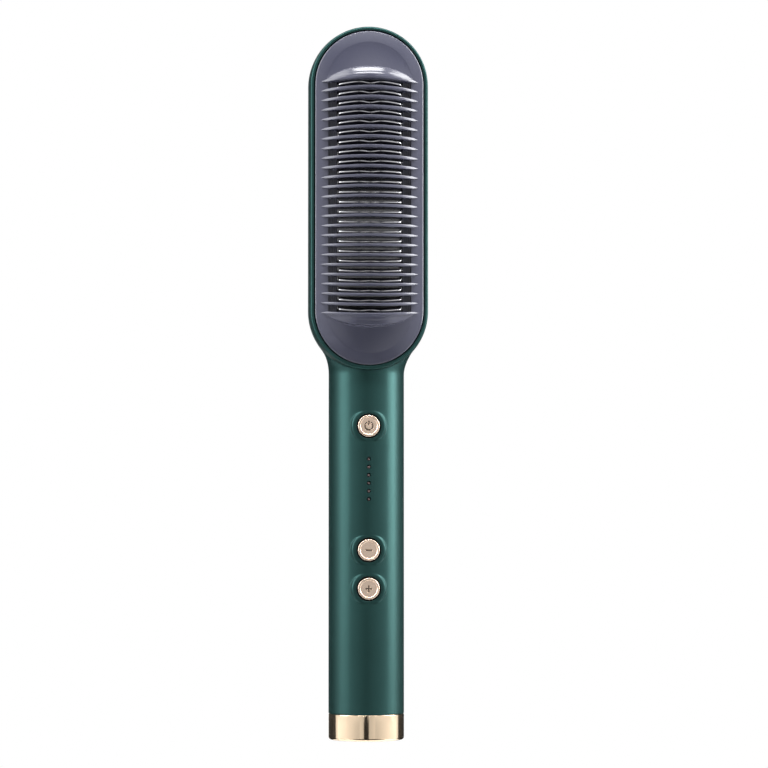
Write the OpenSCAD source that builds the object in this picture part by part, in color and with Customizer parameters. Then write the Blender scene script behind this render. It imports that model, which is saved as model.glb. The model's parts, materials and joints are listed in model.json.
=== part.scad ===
// Heated straightening comb: a round handle with three buttons, a long head
// that carries a heated comb, and a plated end cap with a turning cord inlet.
//
// Millimetres. +Z runs up the handle, and the comb and the buttons face -Y.
// The origin is on the handle's axis, at the underside of the end cap.
//
// Most pieces are drawn facing the user: facing() turns (x, up, forward) into
// the model's own axes, so "forward" is the distance in front of the handle's
// axis, and "up" is the height above the end cap.

/* [Overall] */
// Length from the underside of the end cap to the tip of the head
overall_len = 275; // [268:1:300]
// Outside diameter of the handle
handle_d = 29.2; // [28.4:0.1:31]
// Wall of the two casing halves
shell_wall = 2; // [1.6:0.1:2.2]

/* [Head] */
// Width of the head, and the diameter of its round ends
head_w = 46.2; // [44:0.2:50]
// Length of the head with both of its round ends
head_len = 133.1; // [128:0.1:140]
// Radius of the hollow curve from the handle up to the head
neck_fillet = 15.5; // [12:0.5:20]
// How far the rim stands in front of the handle's front line
rim_stand = 2.9; // [2:0.1:5]
// Width of the green rim around the comb
rim_w = 2.35; // [2:0.05:3]
// Rounding of the rim's outer front edge
rim_round = 1.6; // [0.8:0.1:2]

/* [Comb] */
// Number of gaps between the comb's fins, one heated fin in each
gap_count = 24; // [16:2:26]
// Distance from one fin to the next, along the head
fin_pitch = 3.7; // [3.5:0.05:3.8]
// Thickness of a fin
fin_t = 1.1; // [0.8:0.1:1.2]
// Height of the fins' crest above the foot of their arch
fin_h = 8.8; // [6:0.2:11]
// Lean of the outermost fins, away from the middle of the head
fan_deg = 7.4; // [0:0.1:8]
// Width of the sloping border around the comb
bevel_w = 4.3; // [3.5:0.1:5]
// Rise of the sloping border from its outer edge to its inner edge
bevel_rise = 1.55; // [0.8:0.05:2]
// Gap between the comb and the rim
comb_gap = 0.3; // [0.15:0.05:0.5]

/* [Heater] */
// Thickness of a heated fin
hot_fin_t = 1.3; // [1:0.1:1.5]
// How far the heated fins stay below the comb's crest
hot_fin_drop = 3.1; // [2:0.1:5]
// Half the width of the heated fins
hot_half_w = 12.2; // [10:0.1:12.6]
// Thickness of the heater plate under its fins
plate_t = 2; // [1.5:0.1:2.5]
// Thickness of the ceramic heating elements
ceramic_t = 2; // [1.5:0.1:2.5]

/* [Buttons] */
// Diameter of a button
button_d = 8.5; // [7.5:0.1:9]
// How far a button travels
button_travel = 0.5; // [0.3:0.1:0.6]
// How far a button stands out of its pad
button_proud = 0.3; // [0.1:0.1:1]
// Diameter of the raised flat pad around a button
pad_d = 13.7; // [13:0.1:14.5]
// Distance from the neck down to the power button
power_drop = 20; // [18:0.5:26]
// Distance from the power button down to the first indicator
first_led_drop = 12.7; // [11.5:0.1:15]
// Distance from one indicator to the next
led_pitch = 3.08; // [2.8:0.02:3.3]
// Number of indicators
led_count = 6; // [3:1:6]
// Distance from the last indicator down to the minus button
minus_drop = 19.5; // [18:0.5:22]
// Distance from the minus button down to the plus button
plus_drop = 14.8; // [14:0.1:16]

/* [End cap] */
// Height of the plated end cap
cap_h = 9; // [7.5:0.5:11]
// Side wall of the end cap
cap_wall = 1.6; // [1.2:0.1:2]
// Floor of the end cap
cap_floor = 2.8; // [2:0.1:3.4]
// Rounding of the end cap's lower edge
cap_round = 2; // [1:0.1:2.5]
// Diameter of the turning cord inlet
swivel_d = 14; // [13:0.1:15]
// Bore that takes the mains cord
cord_bore_d = 6.6; // [5:0.1:7.5]

/* [Hidden] */
$fn = 96;

// Clearances between pieces
run_gap = 0.08;      // between a bore and what slides or turns in it
seat_gap = 0.1;      // between fixed pieces that face each other
hair = 0.02;         // between a screw and its pilot hole
past = 1;            // how far a cut runs past what it cuts

// Casing
handle_r = handle_d / 2;
bore_r = handle_r - shell_wall;
head_r = head_w / 2;
low_z = overall_len - head_len + head_r;
straight = head_len - head_w;
high_z = low_z + straight;
mid_z = low_z + straight / 2;
neck_z = low_z - sqrt(pow(head_r + neck_fillet, 2) - pow(handle_r + neck_fillet, 2));
join_z = low_z - head_r * (low_z - neck_z) / (head_r + neck_fillet);
wide_f = head_r - handle_r;
rim_f = handle_r + rim_stand;
open_r = head_r - rim_w;
ledge_w = 1.85;
ledge_t = 1.9;
ledge_in_r = open_r - ledge_w;
ledge_f = rim_f - 7.6;
ledge_back_f = ledge_f - ledge_t;
neck_inset = 0.03;
neck_rings = 15;
neck_sides = 44;

// Screws that hold the casing halves together, one in each round end of the head
shell_boss_r = 3.6;
shell_boss_out = ledge_in_r - shell_boss_r + 0.1;
shell_boss_f = ledge_f - 4.4;
shell_screw_r = 1.5;
shell_screw_len = 13.4;
screw_head_r = 2.7;
screw_head_h = 1.9;
cross_len = 3.4;
cross_t = 0.8;

// Tongue along the handle's seam
tongue_t = 0.8;
tongue_h = 1;

// End cap, swivel and the casing's lower collar
skirt_top = cap_h + seat_gap;
collar_top = cap_h + 5;
cap_in_r = handle_r - cap_wall;
spigot_r = cap_in_r - run_gap;
swivel_r = swivel_d / 2;
housing_r = spigot_r - 2;
housing_low = cap_floor + 1.2;
housing_top = collar_top + 6;
swivel_head_h = 1.4;
swivel_top = housing_top + seat_gap + swivel_head_h;
ring_t = 0.8;
ring_h = 2;
ring_z = [collar_top - 6.5, collar_top - 1.5];
contact_w = 3.8;
contact_h = 1.6;
contact_top = housing_top + 1.2;
contact_leg_t = 1.2;
contact_leg_x = housing_r - 0.6 - contact_leg_t;
swivel_head_r = (swivel_r + contact_leg_x) / 2;

// Comb
skirt_r = open_r - comb_gap;
skirt_t = 1.5;
seal_t = 0.8;
comb_back_f = ledge_f + seal_t;
bevel_low_f = rim_f + 0.35;
bevel_high_f = bevel_low_f + bevel_rise;
edge_chamfer = 0.3;
bevel_in_r = skirt_r - edge_chamfer - bevel_w;
floor_t = 3;
floor_f = bevel_high_f - 3;
floor_back_f = floor_f - floor_t;
arch_r = bevel_in_r + 2.75;
arch_foot_f = bevel_high_f - bevel_rise * (arch_r - bevel_in_r) / bevel_w;
crest_f = arch_foot_f + fin_h;
dome_r = bevel_in_r + 0.4;
dome_wall = 1.8;
end_fin_t = fin_t + 0.7;
fin_zone = gap_count * fin_pitch;
slot_side = 0.3;
slot_half_w = hot_half_w + 0.4;
arch_steps = 18;
clip_w = 6;
clip_t = 1.1;
clip_hook = 1;
hook_h = 1.2;

// Heater, stacked behind the comb's floor
plate_f = floor_back_f - 0.3;
plate_back_f = plate_f - plate_t;
foil_t = 0.3;
electrode_t = 0.4;
clamp_t = 0.8;
cover_wall = 1.2;
lug_r = 2.3;
lug_side = 1.7;
lug_head_r = 1.4;
lug_x = ledge_in_r - lug_side - lug_r;
cover_in_x = lug_x - lug_head_r - seat_gap - cover_wall;
clamp_post_r = 1.7;
clamp_post_x = cover_in_x - 0.3 - clamp_post_r;
clamp_thread = 3;
stack_half_w = clamp_post_x - clamp_post_r - 0.5;
stack_half_l = fin_zone / 2 - 4.4;
clamp_f = plate_back_f - 2 * foil_t - 2 * electrode_t - ceramic_t;
clamp_back_f = clamp_f - clamp_t;
plate_half_l = fin_zone / 2 + 1.1;
plate_half_w = hot_half_w + 0.25;
clamp_post_up = [-stack_half_l + 4, 0, stack_half_l - 4];
small_screw_r = 0.9;
small_head_r = 1.7;
small_head_h = 1.2;
lug_up = [-1.5, -0.5, 0.5, 1.5] * fin_zone / 4;
cover_half_l = plate_half_l + 0.3 + cover_wall;
cover_back_f = clamp_back_f - small_head_h - 2.1;
lead_notch_w = 14;
ceramic_count = 3;
tab_len = 3.4;
tab_x = 5;
fuse_r = 1.4;
fuse_len = 11;
fuse_up = 8;
fuse_wire_len = 8;
fuse_wire_r = 0.4;
bead_r = 1;
bead_len = 4;
bead_low = mid_z - stack_half_l - 0.5 - 2 * seat_gap - bead_len;

// Button stack, from the pad's face back to the board
pad_f = handle_r + 0.1;
pad_round = 0.9;
button_r = button_d / 2;
button_f = pad_f + button_proud;
face_rim = 0.6;
face_edge = 0.3;
face_sink = 0.2;
sign_len = 2.6;
sign_t = 0.5;
sign_f = button_f - face_sink - 0.25;
power_ring_r = 1.75;
power_gap_w = 1.3;
collar_t = 0.36;
collar_in_r = button_r + run_gap;
collar_out_r = collar_in_r + collar_t;
hole_r = collar_out_r + run_gap;
collar_f = pad_f - 0.8;
guide_w = 1.6 * bore_r - 8.16;
guide_t = 1;
guide_f = sqrt(pow(bore_r, 2) - pow(guide_w / 2 + 0.25, 2));
guide_back_f = guide_f - guide_t;
flange_r = button_r + 0.95;
flange_t = 0.8;
flange_f = guide_back_f - seat_gap;
nub_r = 1.6;
plunger_r = 1.7;
plunger_f = flange_f - flange_t - 0.4;
plunger_len = 2.2;
plunger_out = 0.9;
switch_w = 6;
switch_h = 3.1;
switch_f = plunger_f - plunger_out;
board_f = switch_f - switch_h;
board_t = 1.2;
board_back_f = board_f - board_t;
board_half_w = sqrt(pow(bore_r, 2) - pow(board_f, 2)) - 1.7;

guide_boss_r = 2.4;
guide_end = 5.3;
guide_screw_len = guide_t + 1.9;
board_screw_len = board_t + 4;
board_end = 5;

// Heights along the handle
power_z = neck_z - power_drop;
led_top_z = power_z - first_led_drop;
led_low_z = led_top_z - (led_count - 1) * led_pitch;
minus_z = led_low_z - minus_drop;
plus_z = minus_z - plus_drop;
guide_top = power_z + flange_r + 7;
guide_low = plus_z - flange_r - guide_end;
guide_screw_z = [guide_low + 3, (minus_z + led_low_z) / 2, guide_top - 3];
board_top = neck_z - 0.3;
board_low = plus_z - switch_w / 2 - board_end;
board_post_x = board_half_w - small_head_r;
board_post_r = 2.2;
board_post_z = [board_low + 3.5, board_top - 3.5];

// Indicators
led_hole_r = 0.75;
pin_r = led_hole_r - 0.05;
leg_r = 1;
led_w = 1.6;
led_h = 0.8;
pipe_w = 5;
pipe_t = 1;
pin_f = handle_r - 0.2;

// Board components
terminal_h = 6;
terminal_w = 12;
capacitor_r = 4.2;
capacitor_len = 12;
triac_size = [10, 9, 4.4];
chip_size = [8, 10, 1.6];
triac_z = minus_z + 14;
chip_z = led_low_z + 10;
heater_terminal_z = board_top - 2 * terminal_h;
mains_terminal_z = board_post_z[0] + small_head_r + seat_gap + terminal_h / 2;
capacitor_z = mains_terminal_z + (terminal_h + capacitor_len) / 2 + 1;

// Wires: radius, and the points that each one follows, as (x, up, forward)
lead_r = 0.8;
thin_lead_r = 0.45;
lead_sides = 8;
heater_lead_top = mid_z - stack_half_l - tab_len;
heater_drop = heater_lead_top - board_top;
heater_lead_route = [
    [tab_x, heater_lead_top, plate_back_f - 1.2],
    [tab_x, board_top + 0.88 * heater_drop, plate_back_f - 1.4],
    [tab_x + 0.7, board_top + 0.715 * heater_drop, plate_back_f - 3],
    [tab_x + 1.9, board_top + 0.57 * heater_drop, shell_boss_f],
    [tab_x + 2, board_top + 0.366 * heater_drop, 2.6],
    [tab_x + 0.8, board_top + 0.162 * heater_drop, 1.2],
    [tab_x - 1.2, board_top + 0.057 * heater_drop, 0.7],
    [3.3, heater_terminal_z + terminal_h + 6.4, board_back_f - 2],
    [3.2, heater_terminal_z + terminal_h + 1.6, board_back_f - 2.6],
    [3.2, heater_terminal_z + terminal_h / 2 + seat_gap, board_back_f - 2.6]
];
sensor_drop = bead_low - board_top;
sensor_lead_route = [
    [0.55, bead_low - seat_gap, plate_back_f - bead_r - hair],
    [0.7, board_top + 0.905 * sensor_drop, plate_back_f - bead_r - 0.1],
    [2.2, board_top + 0.776 * sensor_drop, plate_back_f - 2.2],
    [4.5, board_top + 0.645 * sensor_drop, shell_boss_f + 0.6],
    [4.7, board_top + 0.451 * sensor_drop, 4.6],
    [4.3, board_top + 0.235 * sensor_drop, 3],
    [2.2, board_top + 0.069 * sensor_drop, 1.6],
    [1.1, heater_terminal_z + terminal_h + 6.2, board_back_f - 1.4],
    [1, heater_terminal_z + terminal_h + 1.6, board_back_f - 2.4],
    [1, heater_terminal_z + terminal_h / 2 + seat_gap, board_back_f - 2.4]
];
mains_lead_end = mains_terminal_z - terminal_h / 2 - 2 * seat_gap;
mains_rise = mains_lead_end - contact_top;
mains_lead_route = [
    [housing_r - 1.2, contact_top + seat_gap, 0],
    [housing_r - 1.2, contact_top + 0.15 * mains_rise, 0],
    [housing_r - 2, contact_top + 0.3 * mains_rise, 0],
    [5.4, contact_top + 0.6 * mains_rise, -0.6],
    [3.3, contact_top + 0.8 * mains_rise, board_back_f - 2.6],
    [3.3, mains_lead_end, board_back_f - 2.6]
];

// ---------------------------------------------------------------- helpers

module facing() {
    rotate([90, 0, 0]) children();
}

// A disc that faces forward, from depth back_f to depth front_f.
module disc(r, back_f, front_f, x = 0, up = 0) {
    facing()
        translate([x, up, back_f])
            cylinder(r = r, h = front_f - back_f);
}

// A block that faces forward, centred on x and on its height.
module slab(w, h, back_f, front_f, x = 0, up = 0) {
    facing()
        translate([x - w / 2, up - h / 2, back_f])
            cube([w, h, front_f - back_f]);
}

// A ring around the handle's axis.
module ring(out_r, in_r, low, high) {
    translate([0, 0, low])
        difference() {
            cylinder(r = out_r, h = high - low);
            translate([0, 0, -past]) cylinder(r = in_r, h = high - low + 2 * past);
        }
}

// A flat plate with round ends, as long as the head's straight part.
module stadium(r, back_f, front_f) {
    disc(r, back_f, front_f, 0, low_z);
    disc(r, back_f, front_f, 0, high_z);
    slab(2 * r, straight, back_f, front_f, 0, mid_z);
}

// The half section in children, as (out from the spine, forward), turned about
// one round end of the head. dir is 1 for the upper end and -1 for the lower.
module round_end(dir) {
    facing()
        translate([0, dir > 0 ? high_z : low_z, 0])
            rotate([0, 0, dir > 0 ? 0 : 180])
                rotate_extrude(angle = 180) children();
}

// The same half section and its mirror image, run along the straight part.
module straight_run() {
    facing()
        translate([0, low_z, 0])
            for (side = [0, 1])
                mirror([side, 0, 0])
                    rotate([90, 0, 0])
                        mirror([0, 0, 1])
                            linear_extrude(height = straight) children();
}

// Everything in front of depth f, or behind it.
module in_front_of(f) {
    slab(4 * head_r, 2 * overall_len, f, f + 6 * head_r, 0, overall_len / 2);
}

module behind(f) {
    slab(4 * head_r, 2 * overall_len, f - 6 * head_r, f, 0, overall_len / 2);
}

// A pan-head screw that faces backward: its head sits on depth seat_f, and its
// shank runs forward.
module screw_forward(r, len, seat_f, x, up, head_r, head_h) {
    disc(r, seat_f, seat_f + len, x, up);
    difference() {
        disc(head_r, seat_f - head_h, seat_f, x, up);
        slab(2 * r, 0.3 * r, seat_f - head_h - past, seat_f - head_h / 2, x, up);
        slab(0.3 * r, 2 * r, seat_f - head_h - past, seat_f - head_h / 2, x, up);
    }
}

// ---------------------------------------------------------------- swept wires

function unit(v) = v / norm(v);

// The direction of a route at point i, taken from its neighbours.
function heading(route, i) =
    unit(route[min(i + 1, len(route) - 1)] - route[max(i - 1, 0)]);

// Point j on a curve through four neighbouring route points.
function on_curve(a, b, c, d, t) =
    0.5 * (2 * b + (c - a) * t + (2 * a - 5 * b + 4 * c - d) * t * t
        + (3 * b - a - 3 * c + d) * t * t * t);

// The route with two more points in each of its stretches, on a smooth curve.
function smooth_route(p) =
    let (n = len(p))
    [
        for (i = [0:n - 2], t = [0, 1/3, 2/3])
            on_curve(p[max(i - 1, 0)], p[i], p[i + 1], p[min(i + 2, n - 1)], t),
        p[n - 1]
    ];

// A tube of radius r along a route, as one closed polyhedron. Its rings keep
// to a fixed side direction, which no route here runs along.
module wire(route, r) {
    p = smooth_route(route);
    n = len(p);
    points = [
        for (i = [0:n - 1])
            let (d = heading(p, i), s = unit(cross(d, [1, 0.2, 0])), u = cross(s, d))
            for (k = [0:lead_sides - 1])
                p[i] + r * (cos(360 * k / lead_sides) * s + sin(360 * k / lead_sides) * u)
    ];
    walls = [
        for (i = [0:n - 2], k = [0:lead_sides - 1])
            let (a = i * lead_sides + k, b = i * lead_sides + (k + 1) % lead_sides)
            each [[a, b, a + lead_sides], [b, b + lead_sides, a + lead_sides]]
    ];
    near_end = [[for (k = [lead_sides - 1:-1:0]) k]];
    far_end = [[for (k = [0:lead_sides - 1]) (n - 1) * lead_sides + k]];
    facing() polyhedron(points, concat(walls, near_end, far_end));
}

// A wire and its mirror image on the other side of the middle plane.
module wire_pair(route, r) {
    wire(route, r);
    mirror([1, 0, 0]) wire(route, r);
}

// ---------------------------------------------------------------- casing

// The half section of the head's wall, in front of its widest line.
module rim_section() {
    translate([0, wide_f]) square([head_r, rim_f - rim_round - wide_f]);
    translate([0, rim_f - rim_round]) square([head_r - rim_round, rim_round]);
    intersection() {
        translate([head_r - rim_round, rim_f - rim_round]) circle(r = rim_round);
        translate([head_r - rim_round, rim_f - rim_round]) square(2 * rim_round);
    }
}

// A quarter of a disc, from the widest line to the back of the head.
module bowl_section(r) {
    intersection() {
        translate([0, wide_f]) circle(r = r);
        translate([0, wide_f - 2 * r]) square([2 * r, 2 * r]);
    }
}

function smooth_step(t) = let (c = min(max(t, 0), 1)) c * c * (3 - 2 * c);

// Half the width of the casing at height z, between the handle and the head.
function neck_half_w(z) =
    z < join_z
        ? handle_r + neck_fillet - sqrt(pow(neck_fillet, 2) - pow(z - neck_z, 2))
        : sqrt(pow(head_r, 2) - pow(low_z - z, 2));

// Depth of the widest line at height z.
function neck_wide_f(z) = wide_f * smooth_step((z - neck_z) / (join_z - neck_z));

// The neck: ovals that keep the handle's front and back lines, while they grow
// to the head's width and their widest line moves forward to the head's.
module neck() {
    heights = [for (i = [0:neck_rings]) neck_z + (low_z - neck_z) * i / neck_rings];
    points = [
        for (z = heights, k = [0:neck_sides - 1])
            let (
                a = 360 * k / neck_sides,
                w = neck_half_w(z) - neck_inset,
                f = neck_wide_f(z),
                depth = (sin(a) > 0 ? handle_r + f : handle_r - f) - neck_inset
            )
            [w * cos(a), -f + depth * sin(a), z]
    ];
    walls = [
        for (i = [0:neck_rings - 1], k = [0:neck_sides - 1])
            let (a = i * neck_sides + k, b = i * neck_sides + (k + 1) % neck_sides)
            each [[a, a + neck_sides, b], [b, a + neck_sides, b + neck_sides]]
    ];
    low_face = [[for (k = [0:neck_sides - 1]) k]];
    high_face = [[for (k = [neck_sides - 1:-1:0]) neck_rings * neck_sides + k]];
    polyhedron(points, concat(walls, low_face, high_face));
}

// The casing's outer form, from its lower end at the cap to the tip.
module outer_form() {
    translate([0, 0, skirt_top]) cylinder(r = handle_r, h = neck_z - skirt_top);
    neck();
    straight_run() {
        rim_section();
        bowl_section(head_r);
    }
    round_end(1) {
        rim_section();
        bowl_section(head_r);
    }
    round_end(-1) rim_section();
}

// The half section of the head's hollow, which keeps its width up to the ledge.
module cavity_section(r) {
    bowl_section(r);
    translate([0, wide_f]) square([r, 2 * r]);
}

// What is hollow inside the casing.
module inner_form() {
    translate([0, 0, skirt_top - past]) cylinder(r = housing_r + seat_gap, h = overall_len / 4);
    translate([0, 0, collar_top]) cylinder(r = bore_r, h = neck_z + past - collar_top);
    intersection() {
        translate([0, 0, neck_z]) cylinder(r = bore_r - 0.4, h = low_z - neck_z);
        behind(ledge_back_f);
    }
    difference() {
        union() {
            straight_run() cavity_section(head_r - shell_wall);
            round_end(1) cavity_section(head_r - shell_wall);
            round_end(-1) cavity_section(head_r - shell_wall);
        }
        in_front_of(ledge_back_f);
    }
    stadium(ledge_in_r, ledge_back_f - past, rim_f);
    stadium(open_r, ledge_f, rim_f + past);
}

// The spigot that goes into the end cap.
module spigot() {
    ring(spigot_r, housing_r + seat_gap, cap_floor + seat_gap, skirt_top + past);
}

// A raised pad with a flat face and a rounded shoulder.
module pad(up) {
    facing()
        translate([0, up, 0])
            rotate_extrude() {
                square([pad_d / 2, pad_f - pad_round]);
                translate([0, pad_f - 2 * pad_round]) square([pad_d / 2 - pad_round, 2 * pad_round]);
                translate([pad_d / 2 - pad_round, pad_f - pad_round]) circle(r = pad_round);
            }
}

module front_bosses() {
    for (up = [low_z - shell_boss_out, high_z + shell_boss_out])
        disc(shell_boss_r, shell_boss_f, ledge_f, 0, up);
    for (up = guide_screw_z)
        disc(guide_boss_r, guide_f, bore_r + shell_wall / 2, 0, up);
    for (x = [-board_post_x, board_post_x], up = board_post_z)
        disc(board_post_r, board_f, sqrt(pow(bore_r, 2) - pow(board_post_x, 2)) + 0.3, x, up);
    for (side = [-1, 1])
        translate([side * (bore_r + 0.1 + tongue_t / 2), 0, (collar_top + neck_z) / 2])
            cube([tongue_t, 2 * tongue_h, neck_z - collar_top - 2], center = true);
}

module front_shell() {
    color([0.17, 0.29, 0.28])
        difference() {
            union() {
                difference() {
                    union() {
                        outer_form();
                        for (up = [power_z, minus_z, plus_z]) pad(up);
                    }
                    inner_form();
                    behind(0);
                }
                front_bosses();
                difference() {
                    spigot();
                    behind(0);
                }
            }
            for (up = [power_z, minus_z, plus_z]) disc(hole_r, 0, pad_f + past, 0, up);
            for (i = [0:led_count - 1])
                disc(led_hole_r, 0, handle_r + past, 0, led_top_z - i * led_pitch);
            for (up = guide_screw_z)
                disc(small_screw_r + hair, 0, guide_back_f + guide_screw_len + seat_gap, 0, up);
            for (x = [-board_post_x, board_post_x], up = board_post_z)
                disc(small_screw_r + hair, 0, board_back_f + board_screw_len + seat_gap, x, up);
            for (up = [low_z - shell_boss_out, high_z + shell_boss_out])
                disc(shell_screw_r + seat_gap, 0, ledge_f + past, 0, up);
        }
}

// The posts that take the casing screws, from the back wall to the joint.
module rear_posts() {
    disc(shell_boss_r, -(handle_r - shell_wall / 2), shell_boss_f, 0, low_z - shell_boss_out);
    intersection() {
        disc(shell_boss_r, -handle_r, shell_boss_f, 0, high_z + shell_boss_out);
        union() {
            round_end(1) cavity_section(head_r - shell_wall - seat_gap);
            intersection() {
                round_end(1) bowl_section(head_r - shell_wall / 2);
                behind(0);
            }
        }
    }
}

module rear_shell() {
    color([0.16, 0.28, 0.27])
        difference() {
            union() {
                difference() {
                    outer_form();
                    inner_form();
                    in_front_of(0);
                }
                rear_posts();
                difference() {
                    spigot();
                    in_front_of(0);
                }
            }
            for (side = [-1, 1])
                translate([side * (bore_r + 0.1 + tongue_t / 2), 0, (collar_top + neck_z) / 2])
                    cube([tongue_t + 2 * seat_gap, 2 * tongue_h + 2 * seat_gap, neck_z - collar_top - 1],
                        center = true);
            for (up = [low_z - shell_boss_out, high_z + shell_boss_out])
                disc(shell_screw_r + hair, ledge_f - shell_screw_len - 0.6, shell_boss_f + past, 0, up);
        }
}

module shell_screws() {
    color([0.75, 0.75, 0.78])
        for (up = [low_z - shell_boss_out, high_z + shell_boss_out])
            difference() {
                union() {
                    disc(shell_screw_r, ledge_f - shell_screw_len, ledge_f, 0, up);
                    disc(screw_head_r, ledge_f, ledge_f + screw_head_h, 0, up);
                }
                slab(cross_len, cross_t, ledge_f + screw_head_h / 2, ledge_f + screw_head_h + past, 0, up);
                slab(cross_t, cross_len, ledge_f + screw_head_h / 2, ledge_f + screw_head_h + past, 0, up);
            }
}

// ---------------------------------------------------------------- end cap and cord inlet

module end_cap() {
    color([0.87, 0.74, 0.6])
        rotate_extrude() {
            difference() {
                union() {
                    translate([0, cap_round]) square([handle_r, cap_h - cap_round]);
                    square([handle_r - cap_round, cap_round + past]);
                    intersection() {
                        translate([handle_r - cap_round, cap_round]) circle(r = cap_round);
                        translate([handle_r - cap_round, 0]) square([2 * cap_round, cap_round]);
                    }
                }
                translate([0, cap_floor]) square([cap_in_r, cap_h]);
                translate([0, -past]) square([swivel_r + 0.25, cap_h]);
            }
        }
}

module swivel_housing() {
    color([0.2, 0.2, 0.21])
        difference() {
            union() {
                ring(housing_r, swivel_r + run_gap, housing_low, housing_top);
                ring(bore_r - seat_gap, swivel_r + run_gap, collar_top + seat_gap, collar_top + 2);
            }
            for (i = [0, 1])
                contact_room(i, seat_gap);
        }
}

// The place of one brush contact, a radial finger with a leg that rises to the
// top of the housing. More is added all round for the room it needs.
module contact_room(i, more) {
    rotate([0, 0, 180 * i]) {
        translate([swivel_r - more, -contact_w / 2 - more, ring_z[i] - contact_h / 2 - more])
            cube([contact_leg_x + contact_leg_t - swivel_r + 2 * more, contact_w + 2 * more,
                contact_h + 2 * more]);
        translate([contact_leg_x - more, -contact_w / 2 - more, ring_z[i] - contact_h / 2 - more])
            cube([contact_leg_t + 2 * more, contact_w + 2 * more,
                housing_top - ring_z[i] + contact_h / 2 + 2 * more]);
    }
}

module brush_contacts() {
    color([0.8, 0.62, 0.3])
        difference() {
            for (i = [0, 1])
                rotate([0, 0, 180 * i]) {
                    translate([swivel_r + run_gap, -contact_w / 2, ring_z[i] - contact_h / 2])
                        cube([contact_leg_x + contact_leg_t - swivel_r - run_gap, contact_w, contact_h]);
                    translate([contact_leg_x, -contact_w / 2, ring_z[i] - contact_h / 2])
                        cube([contact_leg_t, contact_w, contact_top - ring_z[i] + contact_h / 2]);
                }
            cylinder(r = swivel_r + run_gap, h = housing_top);
        }
}

module cord_swivel() {
    color([0.13, 0.13, 0.14])
        difference() {
            union() {
                cylinder(r = swivel_r, h = swivel_top);
                translate([0, 0, swivel_top - swivel_head_h])
                    cylinder(r = swivel_head_r, h = swivel_head_h);
            }
            translate([0, 0, -past]) cylinder(r = cord_bore_d / 2, h = swivel_top + 2 * past);
            for (z = ring_z)
                ring(swivel_r + past, swivel_r - ring_t, z - ring_h / 2, z + ring_h / 2);
        }
}

module slip_rings() {
    color([0.85, 0.66, 0.32])
        for (z = ring_z)
            ring(swivel_r, swivel_r - ring_t, z - ring_h / 2, z + ring_h / 2);
}

// ---------------------------------------------------------------- comb

// Height of the comb's arch at distance r from the middle, from 1 down to 0.
function bell(r, reach) = pow(max(1 - pow(r / reach, 2), 0), 1.25);

// How far fin i leans, where the middle fin is 0, and where its foot stands.
function lean(i) = fan_deg * i / (gap_count / 2);
function foot_up(i) = mid_z + i * fin_pitch;

// Puts children, drawn as (x, forward) and centred on their thickness, where
// fin i stands.
module at_fin(i) {
    facing()
        translate([0, foot_up(i), arch_foot_f])
            rotate([-lean(i), 0, 0])
                translate([0, 0, -arch_foot_f])
                    rotate([90, 0, 0]) children();
}

// A fin's outline: straight down into the floor, with the arch on top.
module fin_outline() {
    polygon(concat(
        [[arch_r, floor_f - past], [-arch_r, floor_f - past]],
        [
            for (k = [-arch_steps:arch_steps])
                [arch_r * k / arch_steps, arch_foot_f + fin_h * bell(arch_r * k / arch_steps, arch_r)]
        ]
    ));
}

// The comb's border and skirt, as (out from the spine, forward).
module border_section() {
    polygon([
        [skirt_r, comb_back_f],
        [skirt_r, bevel_low_f - edge_chamfer],
        [skirt_r - edge_chamfer, bevel_low_f],
        [bevel_in_r, bevel_high_f],
        [bevel_in_r, floor_back_f],
        [skirt_r - skirt_t, floor_back_f],
        [skirt_r - skirt_t, comb_back_f]
    ]);
}

// The hollow dome that closes each end of the comb.
module dome_section() {
    steps = arch_steps;
    rise = crest_f - bevel_high_f;
    inside_r = dome_r - dome_wall;
    polygon(concat(
        [for (k = [0:steps]) [dome_r * k / steps, bevel_high_f - 0.1 + rise * bell(k, steps)]],
        [[dome_r, floor_back_f], [inside_r, floor_back_f]],
        [
            for (k = [steps:-1:0])
                [inside_r * k / steps, bevel_high_f - dome_wall + rise * bell(k, steps)]
        ]
    ));
}

// The wedge of space between the last gap and the dome, which leans as the
// outermost fin does.
module end_gap(dir) {
    at_fin(dir * gap_count / 2)
        translate([0, 0, dir * (fin_pitch / 2)])
            linear_extrude(height = fin_pitch, center = true)
                translate([-bevel_in_r, floor_f]) square([2 * bevel_in_r, 2 * fin_h]);
}

module comb_clip(side, up) {
    x_in = ledge_in_r - seat_gap - clip_t;
    low_f = ledge_back_f - seat_gap - hook_h;
    facing()
        mirror([side < 0 ? 1 : 0, 0, 0])
            translate([x_in, up - clip_w / 2, low_f]) {
                cube([clip_t, clip_w, floor_back_f - low_f]);
                cube([clip_t + clip_hook, clip_w, hook_h]);
                translate([0, 0, comb_back_f + seat_gap - low_f])
                    cube([skirt_r - x_in - seat_gap, clip_w, floor_back_f - comb_back_f - seat_gap]);
            }
}

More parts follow.
